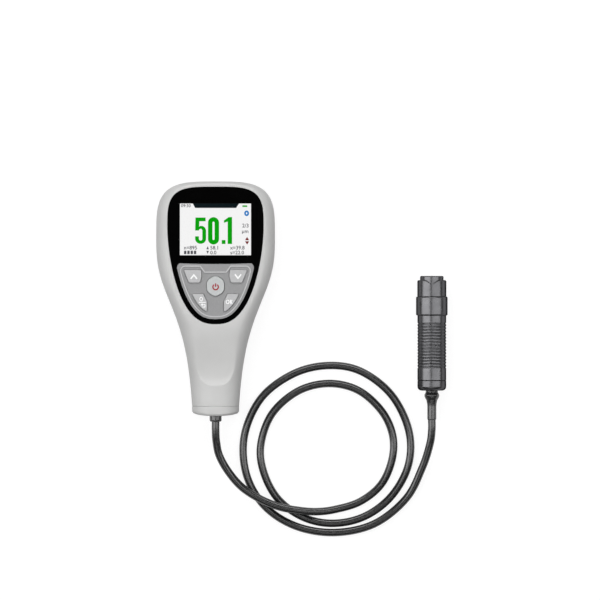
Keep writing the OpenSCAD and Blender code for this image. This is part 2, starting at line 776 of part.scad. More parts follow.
// Bush that holds the cable in the end cap
module gauge_boot() {
    color([0.12, 0.12, 0.12]) translate([0, 0, cable_z]) rotate([-90, 0, 0]) rotate_extrude()
        polygon([[0, y_end - boot_len], [boot_d / 2 - 0.9, y_end - boot_len],
            [boot_d / 2 - 0.25, y_end - boot_len + 0.3], [boot_d / 2, y_end - boot_len + 1],
            [boot_d / 2, y_end], [cable_r + 0.7, y_end], [cable_r + 0.7, y_end + bush_wall],
            [cable_r + 2, y_end + bush_wall], [cable_r + 2, y_end + bush_wall + 1.5],
            [0, y_end + bush_wall + 1.5]]);
}

// The cable inside the handle, from the bush over the battery bay to the socket on the board
module inner_lead() {
    z = board_z - 2.6;
    y0 = y_end + bush_wall + 1.5;
    pts = [[0, y0, cable_z], [0, y0 + 3, cable_z], [0, y0 + 8, (cable_z + z) / 2 + 0.6],
        [0, y0 + 14, z], [0, y0 + 24, z], [0, lead_end_y, z]];
    color([0.12, 0.12, 0.12]) tube(pts, cable_r - 0.3, 10, [0, 1, 0], [0, 1, 0]);
}

// The free cable on the table
module probe_cable() {
    last = len(cable_pts) - 1;
    path = [for (k = [0:cable_rings])
        let(s = k * last / cable_rings, i = min(floor(s), last - 1))
        glide(cable_pts, i, s - i)];
    color([0.15, 0.15, 0.15]) tube(path, cable_r, cable_sides, [0, -1, 0], [0, 1, 0]);
}

// Moulded boot: a bulb against the tail cap, tapering to a long sleeve on the cable
module probe_boot() {
    color([0.12, 0.12, 0.12]) on_probe() rotate_extrude() polygon([
        [0, probe_boot_end], [cable_r + 0.1, probe_boot_end], [cable_r + 0.4, probe_boot_end + 0.6],
        [cable_r + 0.4, probe_end - 10.2], [cable_r + 0.55, probe_end - 8.4], [cable_r + 1, probe_end - 6.2],
        [cable_r + 1.9, probe_end - 4.6], [cable_r + 2.3, probe_end - 3.5], [cable_r + 2.2, probe_end - 2.4],
        [cable_r + 1.5, probe_end - 1.2], [cable_r + 1.35, probe_end], [cable_r + 1.35, tail_y - 2],
        [cable_r + 2.5, tail_y - 2], [cable_r + 2.5, tail_y - 0.5], [0, tail_y - 0.5]]);
}

// Tail cap: rounded, with a spigot inside the barrel
module tail_cap() {
    r = barrel_d / 2;
    round_r = 2.6;
    color([0.2, 0.2, 0.2]) on_probe() rotate_extrude() polygon(concat(
        [[cable_r + 1.4, probe_end]],
        [for (a = [-90:15:0]) [r - round_r + round_r * cos(a), probe_end + round_r + round_r * sin(a)]],
        [[r, tail_y - 0.3], [r - 0.3, tail_y], [rear_bore_r - fit / 2, tail_y],
            [rear_bore_r - fit / 2, tail_y + 6], [rear_bore_r - 1.2, tail_y + 6],
            [rear_bore_r - 1.2, tail_y - 2], [cable_r + 1.4, tail_y - 2]]));
}

// Barrel: grip grooves outside, a step inside for the spring seat, a spigot under the collar
module probe_barrel() {
    r = barrel_d / 2;
    first = barrel_y - 5.1;
    half = groove_pitch * 0.26;
    grooves = [for (i = [0:groove_count - 1]) let(y = first - i * groove_pitch)
        each [[r, y + half], [r - groove_depth, y + half / 2], [r - groove_depth, y - half / 2],
            [r, y - half]]];
    color([0.22, 0.22, 0.22]) on_probe() rotate_extrude() polygon(concat(
        [[bore_r, joint_y], [spigot_r, joint_y], [spigot_r, barrel_y], [r, barrel_y]],
        grooves,
        [[r, tail_y + 0.3], [r - 0.3, tail_y], [rear_bore_r, tail_y], [rear_bore_r, seat_y - seat_t],
            [bore_r, seat_y - seat_t]]));
}

// Collar with rounded edges, screwed over the joint of barrel and sleeve
module probe_collar() {
    r = collar_d / 2;
    round_r = 0.9;
    color([0.25, 0.25, 0.25]) on_probe() rotate_extrude() polygon(concat(
        [[spigot_r + slide_gap, barrel_y + fit / 2]],
        [for (a = [-90:18:0]) [r - round_r + round_r * cos(a), barrel_y + fit / 2 + round_r * (1 + sin(a))]],
        [for (a = [0:18:90]) [r - round_r + round_r * cos(a), collar_y - fit / 2 - round_r * (1 - sin(a))]],
        [[spigot_r + slide_gap, collar_y - fit / 2]]));
}

// Sleeve that guides the plunger, notched at the front to sit on round stock
module probe_sleeve() {
    r = sleeve_d / 2;
    color([0.22, 0.22, 0.22]) difference() {
        on_probe() rotate_extrude() polygon([[plunger_r + slide_gap, joint_y + fit],
            [spigot_r, joint_y + fit], [spigot_r, collar_y], [r, collar_y], [r, sleeve_y - 0.6],
            [r - 0.6, sleeve_y], [plunger_r + slide_gap, sleeve_y]]);
        translate([probe_x, sleeve_y, -1]) linear_extrude(2 * collar_d) polygon([[0, -vee_depth],
            [vee_w / 2 + vee_w / vee_depth, 2], [-vee_w / 2 - vee_w / vee_depth, 2]]);
    }
}

// Plunger: a cup that holds the sensor, with a flange that stops it behind the sleeve
module probe_plunger() {
    back = flange_y - flange_len;
    color([0.12, 0.12, 0.12]) on_probe() rotate_extrude() polygon([
        [cup_r, back], [bore_r - fit, back], [bore_r - fit, flange_y], [plunger_r, flange_y],
        [plunger_r, tip_y - 0.5], [plunger_r - 0.5, tip_y], [pole_r + slide_gap, tip_y],
        [pole_r + slide_gap, coil_front], [cup_r, coil_front]]);
}

// Pole of the sensor, with a domed wear tip that just shows in the plunger's face
module pole_core() {
    dome_h = 0.6;
    dome_r = (pole_r * pole_r + dome_h * dome_h) / (2 * dome_h);
    top = tip_y + 0.15;
    color("silver") on_probe() rotate_extrude() polygon(concat(
        [[0, coil_front - coil_len], [pole_r, coil_front - coil_len]],
        [for (x = [pole_r:-0.25:0]) [x, top - dome_r + sqrt(dome_r * dome_r - x * x)]]));
}

module coil_bobbin() {
    y0 = coil_front - coil_len;
    y1 = coil_front - 0.05;
    color("ivory") on_probe() rotate_extrude() polygon([
        [pole_r + slide_gap, y0], [cup_r - 0.1, y0], [cup_r - 0.1, y0 + 0.8], [pole_r + 0.8, y0 + 0.8],
        [pole_r + 0.8, y1 - 0.8], [cup_r - 0.1, y1 - 0.8], [cup_r - 0.1, y1], [pole_r + slide_gap, y1]]);
}

module sensor_coil() {
    color("peru") on_probe() translate([0, 0, coil_front - coil_len + 0.85]) rotate_extrude()
        translate([pole_r + 0.85, 0]) square([cup_r - pole_r - 1.4, coil_len - 1.8]);
}

// Plug behind the coil, bored for the lead
module coil_plug() {
    y0 = flange_y - flange_len + 0.4;
    y1 = coil_front - coil_len - 0.05;
    color("dimgray") on_probe() difference() {
        translate([0, 0, y0]) cylinder(r = cup_r - 0.05, h = y1 - y0);
        translate([0, 0, y0 - 1]) cylinder(r = lead_r + 0.8, h = y1 - y0 - 1.5);
    }
}

// Spring behind the plunger, with closed end turns
module plunger_spring() {
    r = bore_r - 1.2;
    wire_r = spring_wire / 2;
    y1 = flange_y - flange_len - 0.05 - wire_r;
    y0 = seat_y + 0.05 + wire_r;
    steps = 12;
    count = (spring_turns + 2) * steps;
    end_rise = 1.05 * spring_wire;
    body_rise = y1 - y0 - 2 * end_rise;
    path = [for (k = [0:count])
        let(turn = k / steps,
            a = 360 * turn,
            y = y0 + end_rise * min(1, turn) + end_rise * max(0, turn - spring_turns - 1)
                + body_rise * max(0, min(1, (turn - 1) / spring_turns)))
        [probe_x + r * cos(a), y, probe_z + r * sin(a)]];
    color("silver") tube(path, wire_r, 6, [0, 0, 1], [0, 0, 1], [0, 1, 0]);
}

module spring_seat() {
    color("gray") on_probe() translate([0, 0, seat_y - seat_t]) difference() {
        cylinder(r = bore_r - slide_gap, h = seat_t);
        translate([0, 0, -1]) cylinder(r = lead_r + 1, h = seat_t + 2);
    }
}

// Lead from the boot through the spring into the plug, long enough to follow the plunger
module probe_lead() {
    y0 = tail_y - 0.5;
    y1 = flange_y - flange_len + 4;
    color([0.5, 0.1, 0.1]) on_probe() translate([0, 0, y0]) cylinder(r = lead_r, h = y1 - y0);
}

front_shell();
rear_shell();
end_cap();
fascia();
display_window();
keypad_plate();
key_up();
key_down();
key_power();
key_back();
key_ok();
key_mat();
lcd_frame();
lcd_panel();
main_board();
board_chips();
buzzer();
lead_connector();
board_screws();
case_screws();
batteries();
battery_contacts();
battery_door();
gauge_boot();
inner_lead();
probe_cable();
probe_boot();
tail_cap();
probe_barrel();
probe_collar();
probe_sleeve();
probe_plunger();
pole_core();
sensor_coil();
coil_bobbin();
coil_plug();
plunger_spring();
spring_seat();
probe_lead();
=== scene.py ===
import json
import math
import bpy
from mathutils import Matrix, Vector


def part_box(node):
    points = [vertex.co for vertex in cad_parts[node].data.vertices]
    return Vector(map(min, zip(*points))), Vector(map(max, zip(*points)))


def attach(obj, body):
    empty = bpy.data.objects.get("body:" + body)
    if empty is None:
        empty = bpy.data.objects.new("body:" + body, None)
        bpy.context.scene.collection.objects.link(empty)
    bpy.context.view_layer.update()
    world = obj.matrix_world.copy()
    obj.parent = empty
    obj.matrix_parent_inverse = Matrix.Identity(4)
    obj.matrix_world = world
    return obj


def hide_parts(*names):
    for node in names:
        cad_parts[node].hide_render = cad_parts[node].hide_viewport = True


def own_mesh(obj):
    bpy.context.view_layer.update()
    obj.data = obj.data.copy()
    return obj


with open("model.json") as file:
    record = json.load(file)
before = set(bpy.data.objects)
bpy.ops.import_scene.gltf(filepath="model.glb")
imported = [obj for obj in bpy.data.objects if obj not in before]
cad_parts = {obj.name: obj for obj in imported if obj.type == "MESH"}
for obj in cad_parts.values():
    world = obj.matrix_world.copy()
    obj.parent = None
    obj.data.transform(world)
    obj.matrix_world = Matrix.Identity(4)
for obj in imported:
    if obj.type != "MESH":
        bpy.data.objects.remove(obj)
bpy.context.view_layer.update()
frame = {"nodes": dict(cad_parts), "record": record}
nodes = frame["nodes"]
scene = bpy.context.scene
scene.view_settings.view_transform = "Standard"
mm = 0.001  # all sizes below are written in millimetres
print("frame loaded with", len(nodes), "nodes")

# camera straight above the table, on a long lens
shot = {"centre": (54.0, -0.8), "width": 384.0, "distance": 8000.0, "level": 13.0}
bpy.ops.object.select_all(action="DESELECT")
bpy.ops.object.camera_add(location=(shot["centre"][0] * mm, shot["centre"][1] * mm,
                                    (shot["distance"] + shot["level"]) * mm), rotation=(0, 0, 0))
camera = bpy.context.object
camera.data.sensor_fit = "HORIZONTAL"
camera.data.lens = camera.data.sensor_width * shot["distance"] / shot["width"]
camera.data.clip_start = 0.01
scene.camera = camera
print("camera placed")


def hexColour(code):  # sRGB hex to the linear colour that sockets take
    parts = [int(code[i:i + 2], 16) / 255 for i in (1, 3, 5)]
    return [c / 12.92 if c <= 0.04045 else ((c + 0.055) / 1.055) ** 2.4 for c in parts] + [1.0]


def addNode(tree, kind, values=None, links=None, **settings):  # a node, its settings and links
    node = tree.nodes.new(kind)
    for key, value in settings.items():
        setattr(node, key, value)
    for key, value in (values or {}).items():
        node.inputs[key].default_value = value
    for key, source in (links or {}).items():
        tree.links.new(source, node.inputs[key])
    return node


def newFinish(name, colour, sockets):  # Principled material with its constants on its own sockets
    finish = bpy.data.materials.new(name)
    finish.use_nodes = True
    shader = finish.node_tree.nodes["Principled BSDF"]
    shader.inputs["Base Color"].default_value = hexColour(colour)
    for key, value in sockets.items():
        shader.inputs[key].default_value = value
    return finish, finish.node_tree, shader


def perMm(size):  # noise scale that gives features of this size in millimetres
    return 1.0 / (size * mm)


# ABS, injection moulded in a spark-eroded tool: pale grey, an even matt grain and a soft sheen
absSpec = {"colour": "#CACAC9", "grain": 0.9, "cloud": 14.0}  # real grain is 0.1 mm: coarser here
mouldedAbs, tree, shader = newFinish("mouldedAbs", absSpec["colour"],
                                     {"Roughness": 0.5, "IOR": 1.53})
coords = addNode(tree, "ShaderNodeTexCoord")
cloud = addNode(tree, "ShaderNodeTexNoise", {"Scale": perMm(absSpec["cloud"]), "Detail": 3.0},
                {"Vector": coords.outputs["Object"]})
tint = addNode(tree, "ShaderNodeValToRGB", links={"Fac": cloud.outputs["Fac"]})
tint.color_ramp.elements[0].color = hexColour("#C5C5C4")
tint.color_ramp.elements[1].color = hexColour("#CFCFCE")
tree.links.new(tint.outputs["Color"], shader.inputs["Base Color"])
grain = addNode(tree, "ShaderNodeTexNoise", {"Scale": perMm(absSpec["grain"]), "Detail": 2.0},
                {"Vector": coords.outputs["Object"]})
sheen = addNode(tree, "ShaderNodeMapRange", {"To Min": 0.42, "To Max": 0.6},
                {"Value": grain.outputs["Fac"]})
tree.links.new(sheen.outputs["Result"], shader.inputs["Roughness"])
dimple = addNode(tree, "ShaderNodeBump", {"Strength": 0.25, "Distance": 0.02 * mm},
                 {"Height": grain.outputs["Fac"]})
tree.links.new(dimple.outputs["Normal"], shader.inputs["Normal"])

# acrylic, cast and polished, printed black behind: deep gloss with faint wiping marks
polishedAcrylic, tree, shader = newFinish("polishedAcrylic", "#010101", {
    "Roughness": 0.08, "IOR": 1.49, "Specular IOR Level": 0.2})
coords = addNode(tree, "ShaderNodeTexCoord")
wipe = addNode(tree, "ShaderNodeTexNoise", {"Scale": perMm(9.0), "Detail": 4.0, "Distortion": 0.6},
               {"Vector": coords.outputs["Object"]})
haze = addNode(tree, "ShaderNodeMapRange", {"To Min": 0.05, "To Max": 0.11},
               {"Value": wipe.outputs["Fac"]})
tree.links.new(haze.outputs["Result"], shader.inputs["Roughness"])

# acrylic, cast and polished, clear: almost unseen over the screen
clearAcrylic, tree, shader = newFinish("clearAcrylic", "#0C0D0E",
                                       {"Roughness": 0.05, "IOR": 1.49, "Alpha": 0.05})
coords = addNode(tree, "ShaderNodeTexCoord")
wipe = addNode(tree, "ShaderNodeTexNoise", {"Scale": perMm(7.0), "Detail": 3.0},
               {"Vector": coords.outputs["Object"]})
haze = addNode(tree, "ShaderNodeMapRange", {"To Min": 0.03, "To Max": 0.09},
               {"Value": wipe.outputs["Fac"]})
tree.links.new(haze.outputs["Result"], shader.inputs["Roughness"])


# ABS, moulded then sprayed with satin metallic lacquer: grey with a fine silver fleck
def satinLacquer(name, dark, light, rough):
    finish, tree, shader = newFinish(name, dark, {"Roughness": rough, "IOR": 1.5, "Metallic": 0.0})
    coords = addNode(tree, "ShaderNodeTexCoord")
    fleck = addNode(tree, "ShaderNodeTexVoronoi", {"Scale": perMm(0.5)},
                    {"Vector": coords.outputs["Object"]})
    tint = addNode(tree, "ShaderNodeValToRGB", links={"Fac": fleck.outputs["Color"]})
    tint.color_ramp.elements[0].color = hexColour(dark)
    tint.color_ramp.elements[1].color = hexColour(light)
    tree.links.new(tint.outputs["Color"], shader.inputs["Base Color"])
    spray = addNode(tree, "ShaderNodeTexNoise", {"Scale": perMm(1.2), "Detail": 2.0},
                    {"Vector": coords.outputs["Object"]})
    peel = addNode(tree, "ShaderNodeBump", {"Strength": 0.15, "Distance": 0.015 * mm},
                   {"Height": spray.outputs["Fac"]})
    tree.links.new(peel.outputs["Normal"], shader.inputs["Normal"])
    return finish


plateLacquer = satinLacquer("plateLacquer", "#909091", "#989899", 0.46)
# lighter lacquer for the bead: a painted highlight, standing in for the light caught along the
# bead's edge
beadPaintedHighlight = satinLacquer("beadPaintedHighlight", "#BEBEBF", "#C6C6C7", 0.4)
keyLacquer = satinLacquer("keyLacquer", "#B6B6B7", "#BEBEBF", 0.44)
powerLacquer = satinLacquer("powerLacquer", "#BBBEBE", "#C3C6C6", 0.42)


# ink, pad printed: thin, dense and matt, with a slightly uneven lay
def padInk(name, dark, light, glow=0.0):
    finish, tree, shader = newFinish(name, dark, {"Roughness": 0.6, "Emission Strength": glow,
                                                  "Emission Color": hexColour(light)})
    coords = addNode(tree, "ShaderNodeTexCoord")
    lay = addNode(tree, "ShaderNodeTexNoise", {"Scale": perMm(0.8), "Detail": 2.0},
                  {"Vector": coords.outputs["Object"]})
    tint = addNode(tree, "ShaderNodeValToRGB", links={"Fac": lay.outputs["Fac"]})
    tint.color_ramp.elements[0].color = hexColour(dark)
    tint.color_ramp.elements[1].color = hexColour(light)
    tree.links.new(tint.outputs["Color"], shader.inputs["Base Color"])
    return finish


legendInk = padInk("legendInk", "#F2F2F2", "#FCFCFC")
powerInk = padInk("powerInk", "#960F20", "#A41A2B")


# liquid crystal, backlit: its colour is its own light, on a dark cell with a fine pixel grid
def screenColour(name, colour, glow):
    finish, tree, shader = newFinish(name, "#0C0C0C", {"Roughness": 0.5, "Emission Strength": glow,
                                                       "Emission Color": hexColour(colour),
                                                       "Specular IOR Level": 0.0})
    coords = addNode(tree, "ShaderNodeTexCoord")
    pixels = addNode(tree, "ShaderNodeTexChecker", {"Scale": perMm(0.3)},
                     {"Vector": coords.outputs["Object"]})
    matt = addNode(tree, "ShaderNodeMapRange", {"To Min": 0.45, "To Max": 0.55},
                   {"Value": pixels.outputs["Fac"]})
    tree.links.new(matt.outputs["Result"], shader.inputs["Roughness"])
    return finish


screenWhite = screenColour("screenWhite", "#FCFCFC", 1.02)
screenGreen = screenColour("screenGreen", "#00A404", 1.0)
screenDark = screenColour("screenDark", "#0A171B", 1.0)
screenGrey = screenColour("screenGrey", "#55555A", 1.0)
screenBlue = screenColour("screenBlue", "#2A82CA", 1.0)
screenRed = screenColour("screenRed", "#740A10", 1.0)
screenLeaf = screenColour("screenLeaf", "#46B044", 1.0)


# rubber or soft vinyl, moulded: dark, with a fine skin that shines where it bends
def darkPolymer(name, dark, light, rough, grainSize, gloss=0.5):
    finish, tree, shader = newFinish(name, dark,
                                     {"Roughness": rough, "IOR": 1.5, "Specular IOR Level": gloss})
    coords = addNode(tree, "ShaderNodeTexCoord")
    skin = addNode(tree, "ShaderNodeTexNoise", {"Scale": perMm(grainSize), "Detail": 3.0},
                   {"Vector": coords.outputs["Object"]})
    tint = addNode(tree, "ShaderNodeValToRGB", links={"Fac": skin.outputs["Fac"]})
    tint.color_ramp.elements[0].color = hexColour(dark)
    tint.color_ramp.elements[1].color = hexColour(light)
    tree.links.new(tint.outputs["Color"], shader.inputs["Base Color"])
    rub = addNode(tree, "ShaderNodeMapRange", {"To Min": rough - 0.06, "To Max": rough + 0.1},
                  {"Value": skin.outputs["Fac"]})
    tree.links.new(rub.outputs["Result"], shader.inputs["Roughness"])
    pits = addNode(tree, "ShaderNodeBump", {"Strength": 0.1, "Distance": 0.02 * mm},
                   {"Height": skin.outputs["Fac"]})
    tree.links.new(pits.outputs["Normal"], shader.inputs["Normal"])
    return finish


bootRubber = darkPolymer("bootRubber", "#1F1F20", "#252526", 0.25, 0.8, 1.0)
cableVinyl = darkPolymer("cableVinyl", "#121213", "#181819", 0.23, 1.5, 0.85)
padSilicone = darkPolymer("padSilicone", "#55585A", "#5E6163", 0.6, 1.0)
chipResin = darkPolymer("chipResin", "#1B1B1C", "#262627", 0.55, 0.5)
leadVinyl = darkPolymer("leadVinyl", "#6E1416", "#7A1A1C", 0.45, 0.8)


# metal, turned or drawn: reflections with fine tool marks, shown coarser than they are
def turnedMetal(name, dark, light, rough, mark, rim="#FFFFFF"):
    # rim sets the specular tint; a grey one is painted shade that dims the grazing reflections at
    # the rims
    finish, tree, shader = newFinish(name, dark, {"Roughness": rough, "Metallic": 1.0,
                                                  "Specular Tint": hexColour(rim)})
    coords = addNode(tree, "ShaderNodeTexCoord")
    waveScale = 0.5 / (mark * mm) / 3.14  # a light band and a dark one, each about a mark wide
    marks = addNode(tree, "ShaderNodeTexWave",
                    {"Scale": waveScale, "Distortion": 0.4, "Detail": 2.0},
                    {"Vector": coords.outputs["Object"]}, bands_direction="Y")
    tint = addNode(tree, "ShaderNodeValToRGB", links={"Fac": marks.outputs["Fac"]})
    tint.color_ramp.elements[0].color = hexColour(dark)
    tint.color_ramp.elements[1].color = hexColour(light)
    tree.links.new(tint.outputs["Color"], shader.inputs["Base Color"])
    wear = addNode(tree, "ShaderNodeTexNoise", {"Scale": perMm(4.0), "Detail": 4.0},
                   {"Vector": coords.outputs["Object"]})
    dull = addNode(tree, "ShaderNodeMapRange", {"To Min": rough - 0.06, "To Max": rough + 0.08},
                   {"Value": wear.outputs["Fac"]})
    tree.links.new(dull.outputs["Result"], shader.inputs["Roughness"])
    ridges = addNode(tree, "ShaderNodeBump", {"Strength": 0.03, "Distance": 0.005 * mm},
                     {"Height": marks.outputs["Fac"]})
    tree.links.new(ridges.outputs["Normal"], shader.inputs["Normal"])
    return finish


# aluminium, turned and anodised dark; its grey rim tint is painted shade, dimming the grazing
# reflections at the rims
anodisedAluminium = turnedMetal("anodisedAluminium", "#5C5C5E", "#626264", 0.28, 0.25, "#484848")
screwSteel = turnedMetal("screwSteel", "#A9A9AA", "#B5B5B6", 0.35, 0.4)
springSteel = turnedMetal("springSteel", "#8E8E90", "#9A9A9C", 0.3, 0.4)
poleSteel = turnedMetal("poleSteel", "#B0B0B2", "#BEBEC0", 0.22, 0.3)
contactBrass = turnedMetal("contactBrass", "#B79A5B", "#C4A869", 0.35, 0.5)
coilCopper = turnedMetal("coilCopper", "#9C5A33", "#B06A40", 0.4, 0.35)


# thermoplastic inside the case, moulded plain: even colour with faint flow marks
def plainMoulding(name, dark, light, rough):
    finish, tree, shader = newFinish(name, dark, {"Roughness": rough, "IOR": 1.5})
    coords = addNode(tree, "ShaderNodeTexCoord")
    flow = addNode(tree, "ShaderNodeTexNoise",
                   {"Scale": perMm(6.0), "Detail": 3.0, "Distortion": 1.0},
                   {"Vector": coords.outputs["Object"]})
    tint = addNode(tree, "ShaderNodeValToRGB", links={"Fac": flow.outputs["Fac"]})
    tint.color_ramp.elements[0].color = hexColour(dark)
    tint.color_ramp.elements[1].color = hexColour(light)
    tree.links.new(tint.outputs["Color"], shader.inputs["Base Color"])
    return finish


trayPlastic = plainMoulding("trayPlastic", "#C9CACB", "#D3D4D5", 0.5)
socketNylon = plainMoulding("socketNylon", "#E4DFCC", "#EEE9D8", 0.5)
cellJacket = plainMoulding("cellJacket", "#3D5C86", "#476792", 0.35)
boardLaminate = plainMoulding("boardLaminate", "#1E5A36", "#266842", 0.4)  # glass epoxy, green mask
print("materials made")


def deselectAll():
    if bpy.context.object and bpy.context.object.mode != "OBJECT":
        bpy.ops.object.mode_set(mode="OBJECT")
    bpy.ops.object.select_all(action="DESELECT")


def pick(piece):  # the only selected and active object
    deselectAll()
    piece.select_set(True)
    bpy.context.view_layer.objects.active = piece


def applyAll(piece):
    pick(piece)
    for modifier in list(piece.modifiers):
        bpy.ops.object.modifier_apply(modifier=modifier.name)


def smooth(piece, degrees):  # rounded edges shade softly while broad flats stay flat
    pick(piece)
    bpy.ops.object.shade_smooth_by_angle(angle=math.radians(degrees))
    weighted = piece.modifiers.new("flats", "WEIGHTED_NORMAL")
    weighted.keep_sharp = True
    weighted.weight = 100
    applyAll(piece)


def mergeDoubles(piece, distance=0.002):
    pick(piece)
    bpy.ops.object.mode_set(mode="EDIT")
    bpy.ops.mesh.select_all(action="SELECT")
    bpy.ops.mesh.remove_doubles(threshold=distance * mm)
    bpy.ops.object.mode_set(mode="OBJECT")


def faceOutwards(piece):
    pick(piece)
    bpy.ops.object.mode_set(mode="EDIT")
    bpy.ops.mesh.select_all(action="SELECT")
    bpy.ops.mesh.normals_make_consistent(inside=False)
    bpy.ops.object.mode_set(mode="OBJECT")


def thicken(piece, height):  # flat faces drawn upwards into a closed solid
    pick(piece)
    bpy.ops.object.mode_set(mode="EDIT")
    bpy.ops.mesh.select_all(action="SELECT")
    bpy.ops.mesh.extrude_region_move(TRANSFORM_OT_translate={"value": (0, 0, height * mm)})
    faceOutwards(piece)


def bevelEdges(piece, width, segments, degrees):  # rounds edges that turn more than the angle
    bevel = piece.modifiers.new("edge", "BEVEL")
    bevel.width = width * mm
    bevel.segments = segments
    bevel.limit_method = "ANGLE"
    bevel.angle_limit = math.radians(degrees)
    applyAll(piece)


def hand(piece, name, body, finish, stands=()):  # name, looks, body and CAD node
    piece.name = name
    piece.data.name = name
    piece.data.materials.clear()
    piece.data.materials.append(finish)
    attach(piece, body)
    if stands:
        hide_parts(*stands)
    return piece


def shapeGrid(columns, rows, pointAt):  # a grid whose vertices a formula sets out in millimetres
    deselectAll()
    bpy.ops.mesh.primitive_grid_add(x_subdivisions=len(columns) - 1,
                                    y_subdivisions=len(rows) - 1, size=1.0)
    grid = bpy.context.object
    for vertex in grid.data.vertices:
        i = round((vertex.co.x + 0.5) * (len(columns) - 1))
        j = round((vertex.co.y + 0.5) * (len(rows) - 1))
        vertex.co = Vector(pointAt(columns[i], rows[j])) * mm
    mergeDoubles(grid)
    return grid


def copyNode(node):  # merged copy of a CAD node's mesh, its flats made single faces
    deselectAll()
    piece = bpy.data.objects.new(node + "Copy", nodes[node].data.copy())
    scene.collection.objects.link(piece)
    mergeDoubles(piece, 0.001)
    bpy.ops.object.mode_set(mode="EDIT")
    bpy.ops.mesh.select_all(action="SELECT")
    bpy.ops.mesh.dissolve_limited(angle_limit=math.radians(0.4))
    bpy.ops.object.mode_set(mode="OBJECT")
    return piece


def bodyOf(node):
    for name, parts in frame["record"]["behaviour"]["bodies"].items():
        if node in parts:
            return name
    return frame["record"]["behaviour"]["root_body"]


def dressNode(node, finish, edge=0.0, segments=2, angle=32.0):  # softens a CAD shape
    piece = copyNode(node)
    if edge:
        bevelEdges(piece, edge, segments, 40)
    smooth(piece, angle)
    return hand(piece, node + "Piece", bodyOf(node), finish, (node,))


# cable: one moulded vinyl lead from the gauge to the probe, in two loops on the table
cableSpec = {"diameter": 5.0, "length": 817.5, "route": [
    (0, -78.7, 14), (0, -84, 14), (0.4, -91, 13.3), (2.3, -100.2, 11.5), (8, -110.5, 9.7),
    (16.6, -120.5, 8.4), (28, -128, 7.9), (40, -133, 7.9), (52, -135.4, 7.5), (64, -136.4, 5),
    (76.5, -135, 2.9), (92.5, -130, 2.6), (106, -119, 2.6), (113, -103, 2.6), (113.3, -87, 2.6),
    (106, -71.5, 2.6), (91, -58.5, 2.6), (72, -54.3, 2.6), (52.5, -59.3, 2.6), (36, -73.8, 2.6),
    (28.8, -94, 2.6), (31, -112, 2.6), (40.5, -129, 2.6), (57, -140.4, 2.6), (76, -143.9, 2.6),
    (96, -139.2, 2.6), (113, -126, 2.6), (123.6, -106, 2.6), (123.6, -84, 2.6), (112.5, -61.5, 2.6),
    (93, -46.5, 2.6), (72, -42.8, 2.6), (50, -48, 2.6), (29.5, -63.2, 2.6), (18.5, -87, 2.6),
    (19.5, -112, 2.6), (31, -132.5, 2.6), (51, -145.6, 2.6), (76, -149.8, 2.6),
    (101.5, -144.3, 2.6), (122, -128, 3), (132.4, -108, 6), (137.2, -93, 9.2),
    (138.4, -84, 10.1), (138.4, -77.6, 10.1)]}
line = bpy.data.curves.new("probeCable", "CURVE")
line.dimensions = "3D"
line.resolution_u = 8
line.bevel_depth = cableSpec["diameter"] / 2 * mm
line.bevel_resolution = 6
line.use_fill_caps = True
spline = line.splines.new("BEZIER")
route = [Vector(p) * mm for p in cableSpec["route"]]
spline.bezier_points.add(len(route) - 1)
for i, knot in enumerate(spline.bezier_points):
    before = route[max(i - 1, 0)]
    after = route[min(i + 1, len(route) - 1)]
    knot.handle_left_type = knot.handle_right_type = "FREE"
    knot.co = route[i]
    knot.handle_left = route[i] - (after - before) / 6
    knot.handle_right = route[i] + (after - before) / 6
cable = bpy.data.objects.new("probeCable", line)
scene.collection.objects.link(cable)
hand(cable, "probeCable", "gauge", cableVinyl, ("probe_cable",))
gaugeBoot = dressNode("gauge_boot", bootRubber, 0.15)
probeBoot = dressNode("probe_boot", bootRubber, angle=40)
print("cable laid")

# housing form, the same lines as the solid: a broad head, a narrow neck, a slim handle
form = {"top": 75.0, "end": -75.0, "headY": 39.5, "capY": -68.7, "fasciaBot": -16.2,
        "heelZ": 3.1, "partZ": 13.0, "headW": 76.0, "handleW": 29.4, "crown": 19.55, "back": 15.99,
        "handleRise": 14.0, "face": 30.0, "flatLeast": 0.35, "taperMid": 0.455, "swellLow": 13.0,
        "swellHigh": 24.0, "thumbDrop": 5.0, "thumbIn": 2.0, "stopY": -50.0, "stopR": 14.0,
        "stopSag": 8.0, "stopHalf": 12.05, "stopBow": 5.0, "stopRun": 14.0, "creaseRun": 12.0,
        "soft": 0.8, "crisp": 0.15, "wall": 2.0, "seam": 0.3,
        "handleN": 2.4, "frontN": 4.0, "backN": 4.0, "outlineN": 3.7, "crownN": 8.0,
        "taperN": 2.95}  # an N is a curve's exponent


def ramp(a, b, v):
    u = max(0.0, min(1.0, (v - a) / (b - a)))
    return u * u * (3 - 2 * u)


def rise(v, power):
    return max(v, 0.0) ** power


def headClose(y, n):
    share = max(0.0, (y - form["headY"]) / (form["top"] - form["headY"]))
    return rise(1 - share ** n, 1 / n)


def neck(y):
    t = max(0.0, (form["headY"] - y) / (form["headY"] - form["end"]))
    tail = 1 / (1 + (1 / form["taperMid"]) ** form["taperN"])
    return (1 / (1 + (t / form["taperMid"]) ** form["taperN"]) - tail) / (1 - tail)


def halfWidth(y):
    width = form["handleW"] + (form["headW"] - form["handleW"]) * neck(y)
    return width / 2 * headClose(y, form["outlineN"])


def swell(y):  # from the handle's section to the head's
    return ramp(form["end"] + form["swellLow"], form["fasciaBot"] + form["swellHigh"], y)


def crownUp(y):
    full = form["handleRise"] + (form["crown"] - form["handleRise"]) * swell(y)
    return full * headClose(y, form["crownN"])


def faceRise(y, x=0.0):  # thumb flat, which rises to a rounded stop
    flat = ramp(form["fasciaBot"] + form["thumbIn"], form["stopY"] - form["thumbIn"], y)
    bow = (abs(x) / form["stopHalf"]) ** form["stopBow"]
    near = ramp(form["stopY"] + form["stopRun"], form["stopY"], y)
    lip = max(0.0, form["stopY"] + form["stopSag"] * bow * near - y) ** 2 / form["stopR"]
    return form["face"] - form["thumbDrop"] * flat + lip - form["partZ"]


